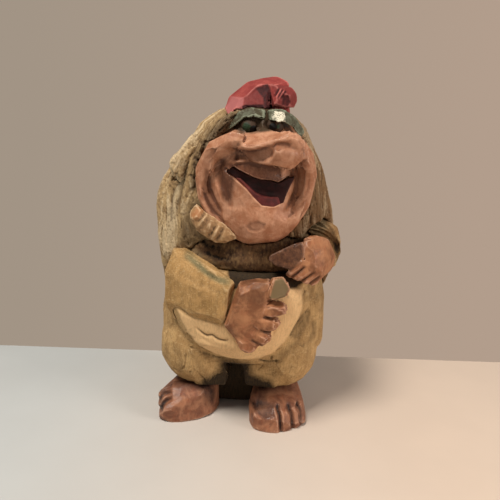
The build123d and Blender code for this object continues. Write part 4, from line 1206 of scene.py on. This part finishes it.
class Finish:
    """A painted wood finish, built up from nodes."""

    def __init__(self, name):
        self.material = bpy.data.materials.new(name)
        self.material.use_nodes = True
        self.tree = self.material.node_tree
        self.shader = self.tree.nodes["Principled BSDF"]
        self.place = self.node("TexCoord").outputs["Object"]
        self.base = None

    def node(self, kind):
        return self.tree.nodes.new(f"ShaderNode{kind}")

    def put(self, socket, value):
        if isinstance(value, bpy.types.NodeSocket):
            self.tree.links.new(value, socket)
        else:
            socket.default_value = value

    def trait(self, name):
        node = self.node("Attribute")
        node.attribute_name = name
        return node.outputs["Fac"]

    def noise(self, size, detail=3.0, rough=0.55, stretch=(1, 1, 1), warp=0.0):
        """Noise whose features are about so many millimetres across."""
        mapping = self.node("Mapping")
        mapping.inputs["Scale"].default_value = tuple(1 / (size * MILLIMETRE * part) for part in stretch)
        self.put(mapping.inputs["Vector"], self.place)
        node = self.node("TexNoise")
        self.put(node.inputs["Vector"], mapping.outputs["Vector"])
        for socket, value in (("Scale", 1.0), ("Detail", detail), ("Roughness", rough), ("Distortion", warp)):
            node.inputs[socket].default_value = value
        return node.outputs["Fac"]

    def spread(self, value, low, high, to_low=0.0, to_high=1.0):
        """Brings values between low and high to another range."""
        node = self.node("MapRange")
        node.interpolation_type = "SMOOTHSTEP"
        for socket, part in zip(node.inputs, (value, low, high, to_low, to_high)):
            self.put(socket, part)
        return node.outputs["Result"]

    def maths(self, operation, a, b):
        node = self.node("Math")
        node.operation = operation
        node.use_clamp = True
        self.put(node.inputs[0], a)
        self.put(node.inputs[1], b)
        return node.outputs["Value"]

    def mix(self, share, a, b):
        node = self.node("Mix")
        node.data_type = "RGBA"
        node.clamp_factor = True
        sockets = [socket for socket in node.inputs if socket.type == "RGBA"]
        self.put(node.inputs[0], share)
        self.put(sockets[0], a)
        self.put(sockets[1], b)
        return next(socket for socket in node.outputs if socket.type == "RGBA")

    def ground(self, value, low, high, low_shade, high_shade):
        """The first colour, between two shades as a value goes from low to high."""
        self.base = self.mix(self.spread(value, low, high), colour(*low_shade), colour(*high_shade))

    def coat(self, share, shade):
        """Lays a shade over what is there."""
        self.base = self.mix(share, self.base, colour(*shade))

    def wash(self, value, low, high, most, shade):
        """Lays a shade over what is there, up to its most as a value goes from low to high."""
        self.coat(self.spread(value, low, high, 0, most), shade)

    def tint_zone(self, most, shade):
        self.coat(self.maths("MULTIPLY", self.trait("zone"), most), shade)

    def depth(self, low, most):
        """How dark a point is from the depth of the cut it lies in and the stain drawn there, as stain and
        painted shade.
        """
        return self.maths("ADD", self.spread(self.trait("cut"), low, 1, 0, most), self.trait("stain"))

    def spot(self, centre, radius, edge):
        """One inside a ball round a place in millimetres, and nothing outside it."""
        away = self.node("VectorMath")
        away.operation = "DISTANCE"
        self.put(away.inputs[0], self.place)
        away.inputs[1].default_value = tuple(value * MILLIMETRE for value in centre)
        uneven = self.spread(self.noise(1.6), 0.3, 0.7, 0, edge * MILLIMETRE)
        ragged = self.maths("ADD", away.outputs["Value"], uneven)
        return self.spread(ragged, radius * MILLIMETRE, (radius + edge) * MILLIMETRE, 1, 0)

    def finish(self, relief, rough, strength, sheen=0.0):
        """Sets the colour, a bump from a value and roughness that varies with it."""
        self.put(self.shader.inputs["Base Color"], self.base)
        bump = self.node("Bump")
        bump.inputs["Strength"].default_value = strength
        bump.inputs["Distance"].default_value = BUMP_DEPTH * MILLIMETRE
        self.put(bump.inputs["Height"], relief)
        self.put(self.shader.inputs["Normal"], bump.outputs["Normal"])
        self.put(self.shader.inputs["Roughness"], self.spread(relief, 0.25, 0.75, *rough))
        self.shader.inputs["Specular IOR Level"].default_value = SPECULAR
        self.shader.inputs["Coat Weight"].default_value = sheen
        return self.material


def skin_finish(name, light, mid, zone, dark):
    """Peach to terracotta stain, pale on the ridges as wear and painted highlight, and dark in the cuts as
    stain and painted shade.
    """
    paint = Finish(name)
    grain = paint.noise(0.9, 4, 0.65, (1, 1, 9))
    paint.ground(paint.noise(7, 4, 0.65, warp=0.5), 0.34, 0.66, mid, light)
    paint.wash(paint.noise(3.2, 4, 0.7), 0.45, 0.75, 0.5, (152, 88, 58))
    paint.wash(grain, 0.5, 0.8, 0.4, (108, 68, 48))
    paint.wash(paint.trait("wear_and_highlight"), 0.35, 1, 0.5, (206, 160, 132))
    paint.coat(paint.trait("zone"), zone)
    paint.coat(paint.depth(0.35, 0.35), dark)
    return paint.finish(grain, (0.42, 0.62), 0.25, 0.05)


def hair_finish():
    """Tan wash over gouged strands, cream on top of them as wear and painted highlight, and dark brown
    between them as stain and painted shade.
    """
    paint = Finish("hair_wash")
    strand = paint.trait("strand")
    fine = paint.noise(0.7, 5, 0.75, (1, 1, 2.2))
    paint.ground(paint.noise(9, 4, 0.65, warp=0.5), 0.35, 0.65, (138, 111, 76), (184, 155, 112))
    paint.tint_zone(0.85, (102, 71, 43))
    # Cream on the tops of the strands, as wear and painted highlight, with less of it at +X
    pale = paint.spread(strand, 0.55, 0.95, 0, 0.7)
    pale = paint.maths("MULTIPLY", pale, paint.spread(paint.trait("zone"), 0, 1, 1, 0.5))
    paint.coat(pale, (216, 194, 158))
    paint.wash(paint.noise(2.2, 4, 0.75), 0.48, 0.7, 0.6, (112, 88, 60))
    paint.wash(fine, 0.5, 0.74, 0.75, (84, 64, 42))
    # Dark brown between the strands and in the cuts, as stain and painted shade
    depth = paint.spread(strand, 0.42, 0.08, 0, 0.7)
    depth = paint.maths("ADD", depth, paint.spread(paint.trait("cut"), 0.25, 1, 0, 0.7))
    paint.coat(paint.maths("MULTIPLY", depth, 0.85), (66, 48, 32))
    # The relief's stain, here painted shade beside the cheek and by the jaw tuft
    paint.coat(paint.trait("stain"), (56, 40, 26))
    return paint.finish(fine, (0.6, 0.85), 0.5)


def cap_finish():
    """Red stain, lighter pink on the facets at -X as painted light, coral on the ridges as wear and painted
    highlight, and maroon in the cuts as stain and painted shade.
    """
    paint = Finish("cap_stain")
    grain = paint.noise(0.8, 4, 0.65, (1, 1, 5))
    paint.ground(paint.noise(7, 3, 0.6), 0.35, 0.7, (128, 48, 46), (152, 68, 62))
    paint.wash(grain, 0.5, 0.78, 0.4, (104, 36, 38))
    # Painted light: the facets at -X are lighter pink
    paint.tint_zone(0.8, (172, 104, 102))
    # Coral on the ridges, as wear and painted highlight
    paint.wash(paint.trait("wear_and_highlight"), 0.2, 0.8, 0.65, (200, 118, 110))
    # Maroon in the cuts, as stain and painted shade
    paint.coat(paint.depth(0.25, 0.6), (54, 18, 20))
    return paint.finish(grain, (0.6, 0.8), 0.2)


def cloth_finish(name, light, mid, cream):
    """Ochre stain with an upright grain, for the trousers and the sleeves."""
    paint = Finish(name)
    grain = paint.noise(0.6, 5, 0.7, (1, 1, 12), 0.3)
    scratch = paint.noise(1.4, 3, 0.6, (1, 1, 0.35), 1.2)
    paint.ground(paint.noise(11, 4, 0.65, warp=0.6), 0.36, 0.64, mid, light)
    # The zone's shade: on the trousers it is painted light on the belly's crescent, and on the sleeves a
    # mossy band
    paint.tint_zone(0.8, cream)
    paint.wash(grain, 0.44, 0.7, 0.55, (124, 94, 58))
    paint.wash(paint.noise(4, 5, 0.75, warp=0.8), 0.5, 0.7, 0.5, (106, 84, 54))
    # The zone's shade again over the grain: painted light on the trousers' crescent
    paint.tint_zone(0.4, cream)
    paint.wash(scratch, 0.55, 0.68, 0.5, (214, 186, 140))
    # Paler ridges, as wear and painted highlight
    paint.wash(paint.trait("wear_and_highlight"), 0.3, 1, 0.5, (204, 174, 130))
    # Darker cuts, as stain and painted shade
    depth = paint.maths("MULTIPLY", paint.depth(0.3, 0.4), paint.spread(grain, 0.35, 0.7, 1, 0.9))
    paint.coat(depth, (34, 25, 15))
    return paint.finish(grain, (0.7, 0.92), 0.4)


def fur_finish():
    """Dark brown, pricked all over like fur, with lighter hairs and mossy grey edges."""
    paint = Finish("fur_wash")
    hairs = paint.noise(0.7, 5, 0.75, (1, 1, 2.4))
    paint.ground(paint.noise(8, 4, 0.6), 0.35, 0.7, (62, 42, 26), (90, 63, 38))
    paint.tint_zone(0.6, (136, 116, 86))
    paint.wash(paint.trait("fur"), 0.55, 0.95, 0.6, (116, 90, 58))
    paint.wash(hairs, 0.5, 0.72, 0.7, (136, 106, 70))
    # Darker in the cuts, as stain and painted shade
    paint.coat(paint.depth(0.2, 0.6), (30, 21, 14))
    return paint.finish(hairs, (0.7, 0.9), 0.6)


def tuft_finish():
    """Pale tan stain with brown cross cuts."""
    paint = Finish("tuft_stain")
    grain = paint.noise(0.9, 4, 0.7)
    paint.ground(paint.noise(5, 4, 0.6), 0.35, 0.7, (142, 108, 74), (178, 140, 98))
    paint.wash(grain, 0.5, 0.8, 0.5, (122, 88, 60))
    paint.coat(paint.trait("zone"), (166, 112, 72))
    # Paler ridges, as wear and painted highlight
    paint.wash(paint.trait("wear_and_highlight"), 0.3, 1, 0.6, (214, 184, 146))
    # Darker cuts, as stain and painted shade
    paint.coat(paint.depth(0.25, 0.45), (74, 52, 34))
    return paint.finish(grain, (0.5, 0.75), 0.35)


def mouth_finish(name, light, dark, wear_and_highlight):
    """Dark red stain inside the mouth and on the lip."""
    paint = Finish(name)
    paint.ground(paint.noise(4, 3, 0.6), 0.35, 0.7, dark, light)
    # Paler ridges, as wear and painted highlight
    paint.wash(paint.trait("wear_and_highlight"), 0.3, 1, 0.5, wear_and_highlight)
    return paint.finish(paint.noise(1.0, 4, 0.6), (0.55, 0.75), 0.3)


def eye_finish(name, pupil, iris, iris_radius):
    """A black pupil and a mottled green iris, with the socket's dark brown round them."""
    paint = Finish(name)
    speckle = paint.noise(0.8, 4, 0.7)
    green = paint.mix(paint.spread(speckle, 0.4, 0.7), colour(26, 40, 26), colour(54, 78, 52))
    paint.base = paint.mix(paint.spot(iris, iris_radius, 1.0), colour(60, 44, 32), green)
    paint.coat(paint.spot(pupil, 2.0, 0.3), (7, 7, 9))
    return paint.finish(speckle, (0.5, 0.7), 0.2)


def brow_finish(name, chipped):
    """Grey-green stain, with a chipped white patch on one brow."""
    paint = Finish(name)
    grain = paint.noise(0.8, 4, 0.7)
    paint.ground(paint.noise(4, 4, 0.6), 0.35, 0.7, (64, 58, 42), (96, 100, 82))
    # Paler ridges, as wear and painted highlight
    paint.wash(paint.trait("wear_and_highlight"), 0.2, 0.9, 0.8, (132, 138, 118))
    # Dark in the cuts, as stain and painted shade
    paint.wash(paint.trait("cut"), 0.1, 0.8, 0.9, (34, 28, 20))
    if chipped:
        chip = paint.maths("MULTIPLY", paint.spot(CHIP_CENTRE, 3.6, 2.2), paint.spread(grain, 0.42, 0.5))
        paint.coat(chip, (226, 220, 198))
    return paint.finish(grain, (0.5, 0.75), 0.3)


# Each finish has its light, its middle and its zone's shade, and skin has that of its cuts
SKINS = {
    "face": ((192, 142, 112), (156, 104, 74), (66, 52, 38), (88, 54, 38)),
    "hand": ((170, 118, 82), (122, 78, 52), (112, 94, 66), (62, 38, 26)),
    "foot": ((158, 110, 82), (112, 70, 52), (150, 120, 100), (42, 25, 20)),
}
CLOTHS = {
    # The trousers' zone shade is painted light on the belly's crescent
    "trousers": ((192, 156, 106), (160, 126, 82), (226, 186, 136)),
    "right_sleeve": ((186, 146, 94), (152, 118, 72), (120, 116, 84)),
    "left_sleeve": ((158, 120, 76), (124, 92, 58), (136, 118, 86)),
}
# Light, dark, and the shade for wear and painted highlight on ridges
MOUTHS = {
    "mouth_lining": ((50, 20, 20), (26, 10, 10), (70, 36, 30)),
    "lower_lip": ((96, 36, 34), (66, 22, 22), (110, 56, 46)),
}
# Where each eye's pupil and iris are painted, and the radius of the iris
EYES = {
    "right_eye": ((-1.4, -24.4, 157.6), (-4.8, -24.4, 158.6), 2.4),
    "left_eye": ((8, -24.2, 159.4), (10.6, -24, 160), 1.0),
}


def make_pieces():
    skins = {part: skin_finish(f"{part}_stain", *shades) for part, shades in SKINS.items()}
    cloths = {name: cloth_finish(f"{name}_stain", *shades) for name, shades in CLOTHS.items()}
    head = carve_head()
    chest = carve_chest(head)
    hair = carve_hair(head, chest)
    lining, lip = carve_mouth_parts()
    head.piece("head", "skin", skins["face"])
    chest.piece("chest", "fur_brown", fur_finish())
    hair.piece("hair", "hair_tan", hair_finish())
    lining.piece("mouth_lining", "mouth_dark", mouth_finish("mouth_stain", *MOUTHS["mouth_lining"]))
    lip.piece("lower_lip", "lip_red", mouth_finish("lip_stain", *MOUTHS["lower_lip"]))
    for name, spots in EYES.items():
        carve_eye(name).piece(name, "eye_green", eye_finish(f"{name}_paint", *spots))
    for name in BROWS:
        carve_brow(name, head).piece(name, "brow_teal", brow_finish(f"{name}_stain", name == "left_brow"))
    carve_tuft(head).piece("jaw_tuft", "tuft_tan", tuft_finish())
    carve_trousers().piece("trousers", "trousers_ochre", cloths["trousers"])
    for name in SLEEVE_GROWTH:
        carve_sleeve(name).piece(name, "sleeve_ochre", cloths[name])
    carve_left_hand().piece("left_hand", "skin", skins["hand"])
    carve_right_hand().piece("right_hand", "skin", skins["hand"])
    for name in FEET:
        carve_foot(name).piece(name, "skin", skins["foot"])
    stain = cap_finish()
    carve_cap(head, hair).piece("cap", "cap_red", stain)
    carve_cap_tip(head, hair).piece("cap_tip", "cap_red", stain)


# Stage, camera and lights, in metres and degrees
CAMERA_PLACE = (0.0, -0.323, 0.171)
CAMERA_PITCH = 13.9
CAMERA_ROLL = 3.0
CAMERA_LENS = 43.2
CAMERA_NEAR = 0.01
SENSOR_WIDTH = 36
FLOOR_HALF = 1.5
FLOOR_EDGE = 0.0665
FLOOR_TURN = 2.5
FLOOR_LEFT = (190, 193, 192)
FLOOR_RIGHT = (216, 196, 178)
FLOOR_MOTTLE = (120, 110, 100)
BACKDROP_LEFT = (162, 148, 133)
BACKDROP_RIGHT = (178, 157, 140)
BACKDROP_SPAN = 0.35
ROOM_COLOUR = (0.95, 0.93, 0.9, 1)
ROOM_LIGHT = 0.24
# Each lamp's name, place, target, size, power and colour
LAMPS = (
    ("key_light", (-0.26, -0.34, 0.84), (0, 0, 0.08), 0.26, 8.0, (1.0, 0.94, 0.86)),
    ("side_light", (0.62, -0.30, 0.30), (0.03, 0.0, 0.07), 0.3, 2.4, (1.0, 0.92, 0.86)),
)


def floor_finish():
    """Plain paint that changes a little from left to right."""
    paint = Finish("floor_paint")
    mottle = paint.noise(60, 3, 0.5)
    across = paint.node("SeparateXYZ")
    paint.put(across.inputs[0], paint.place)
    paint.ground(across.outputs["X"], -0.14, 0.12, FLOOR_LEFT, FLOOR_RIGHT)
    paint.wash(mottle, 0.3, 0.7, 0.06, FLOOR_MOTTLE)
    return paint.finish(mottle, (0.6, 0.7), 0.02)


def make_stage():
    """A pale floor with a straight edge behind the figure. What lies beyond it is the world's colour."""
    floor = bpy.data.meshes.new("floor")
    half = FLOOR_HALF
    corners = [(-half, -half, 0), (half, -half, 0), (half, 0, 0), (-half, 0, 0)]
    floor.from_pydata(corners, [], [(0, 1, 2, 3)])
    floor.transform(Matrix.Translation((0, FLOOR_EDGE, 0)) @ Matrix.Rotation(radians(FLOOR_TURN), 4, "Z"))
    floor.materials.append(floor_finish())
    made = bpy.data.objects.new("floor", floor)
    bpy.context.scene.collection.objects.link(made)


def make_camera():
    camera = bpy.data.objects.new("camera", bpy.data.cameras.new("camera"))
    camera.data.lens = CAMERA_LENS
    camera.data.sensor_width = SENSOR_WIDTH
    camera.data.clip_start = CAMERA_NEAR
    camera.matrix_world = (
        Matrix.Translation(CAMERA_PLACE)
        @ Matrix.Rotation(radians(90 - CAMERA_PITCH), 4, "X")
        @ Matrix.Rotation(radians(CAMERA_ROLL), 4, "Z")
    )
    bpy.context.scene.collection.objects.link(camera)
    bpy.context.scene.camera = camera


def make_light(name, place, target, size, power, shade):
    lamp = bpy.data.lights.new(name, "AREA")
    lamp.size = size
    lamp.energy = power
    lamp.color = shade
    made = bpy.data.objects.new(name, lamp)
    made.location = place
    made.rotation_euler = (Vector(target) - Vector(place)).to_track_quat("-Z", "Y").to_euler()
    bpy.context.scene.collection.objects.link(made)


def make_world():
    """Soft even light, and the colour of a plain wall behind the figure."""
    world = bpy.data.worlds.new("room")
    world.use_nodes = True
    nodes = world.node_tree.nodes
    light = nodes["Background"]
    light.inputs["Color"].default_value = ROOM_COLOUR
    light.inputs["Strength"].default_value = ROOM_LIGHT
    place = nodes.new("ShaderNodeTexCoord")
    split = nodes.new("ShaderNodeSeparateXYZ")
    across = nodes.new("ShaderNodeMapRange")
    across.inputs["From Min"].default_value = -BACKDROP_SPAN
    across.inputs["From Max"].default_value = BACKDROP_SPAN
    tint = nodes.new("ShaderNodeMix")
    tint.data_type = "RGBA"
    tint.inputs["A"].default_value = colour(*BACKDROP_LEFT)
    tint.inputs["B"].default_value = colour(*BACKDROP_RIGHT)
    wall = nodes.new("ShaderNodeBackground")
    ray = nodes.new("ShaderNodeLightPath")
    seen, seen_through = nodes.new("ShaderNodeMath"), nodes.new("ShaderNodeMath")
    both = nodes.new("ShaderNodeMixShader")
    for node in (seen, seen_through):
        node.operation = "ADD"
        node.use_clamp = True
    for source, target in (
        (place.outputs["Generated"], split.inputs[0]),
        (split.outputs["X"], across.inputs["Value"]),
        (across.outputs["Result"], tint.inputs["Factor"]),
        (tint.outputs["Result"], wall.inputs["Color"]),
        (ray.outputs["Is Camera Ray"], seen.inputs[0]),
        (ray.outputs["Is Glossy Ray"], seen.inputs[1]),
        (seen.outputs[0], seen_through.inputs[0]),
        (ray.outputs["Is Transmission Ray"], seen_through.inputs[1]),
        (seen_through.outputs[0], both.inputs[0]),
        (light.outputs[0], both.inputs[1]),
        (wall.outputs[0], both.inputs[2]),
        (both.outputs[0], nodes["World Output"].inputs["Surface"]),
    ):
        world.node_tree.links.new(source, target)
    bpy.context.scene.world = world


make_pieces()
make_stage()
make_camera()
for lamp in LAMPS:
    make_light(*lamp)
make_world()
bpy.context.scene.view_settings.view_transform = "Standard"
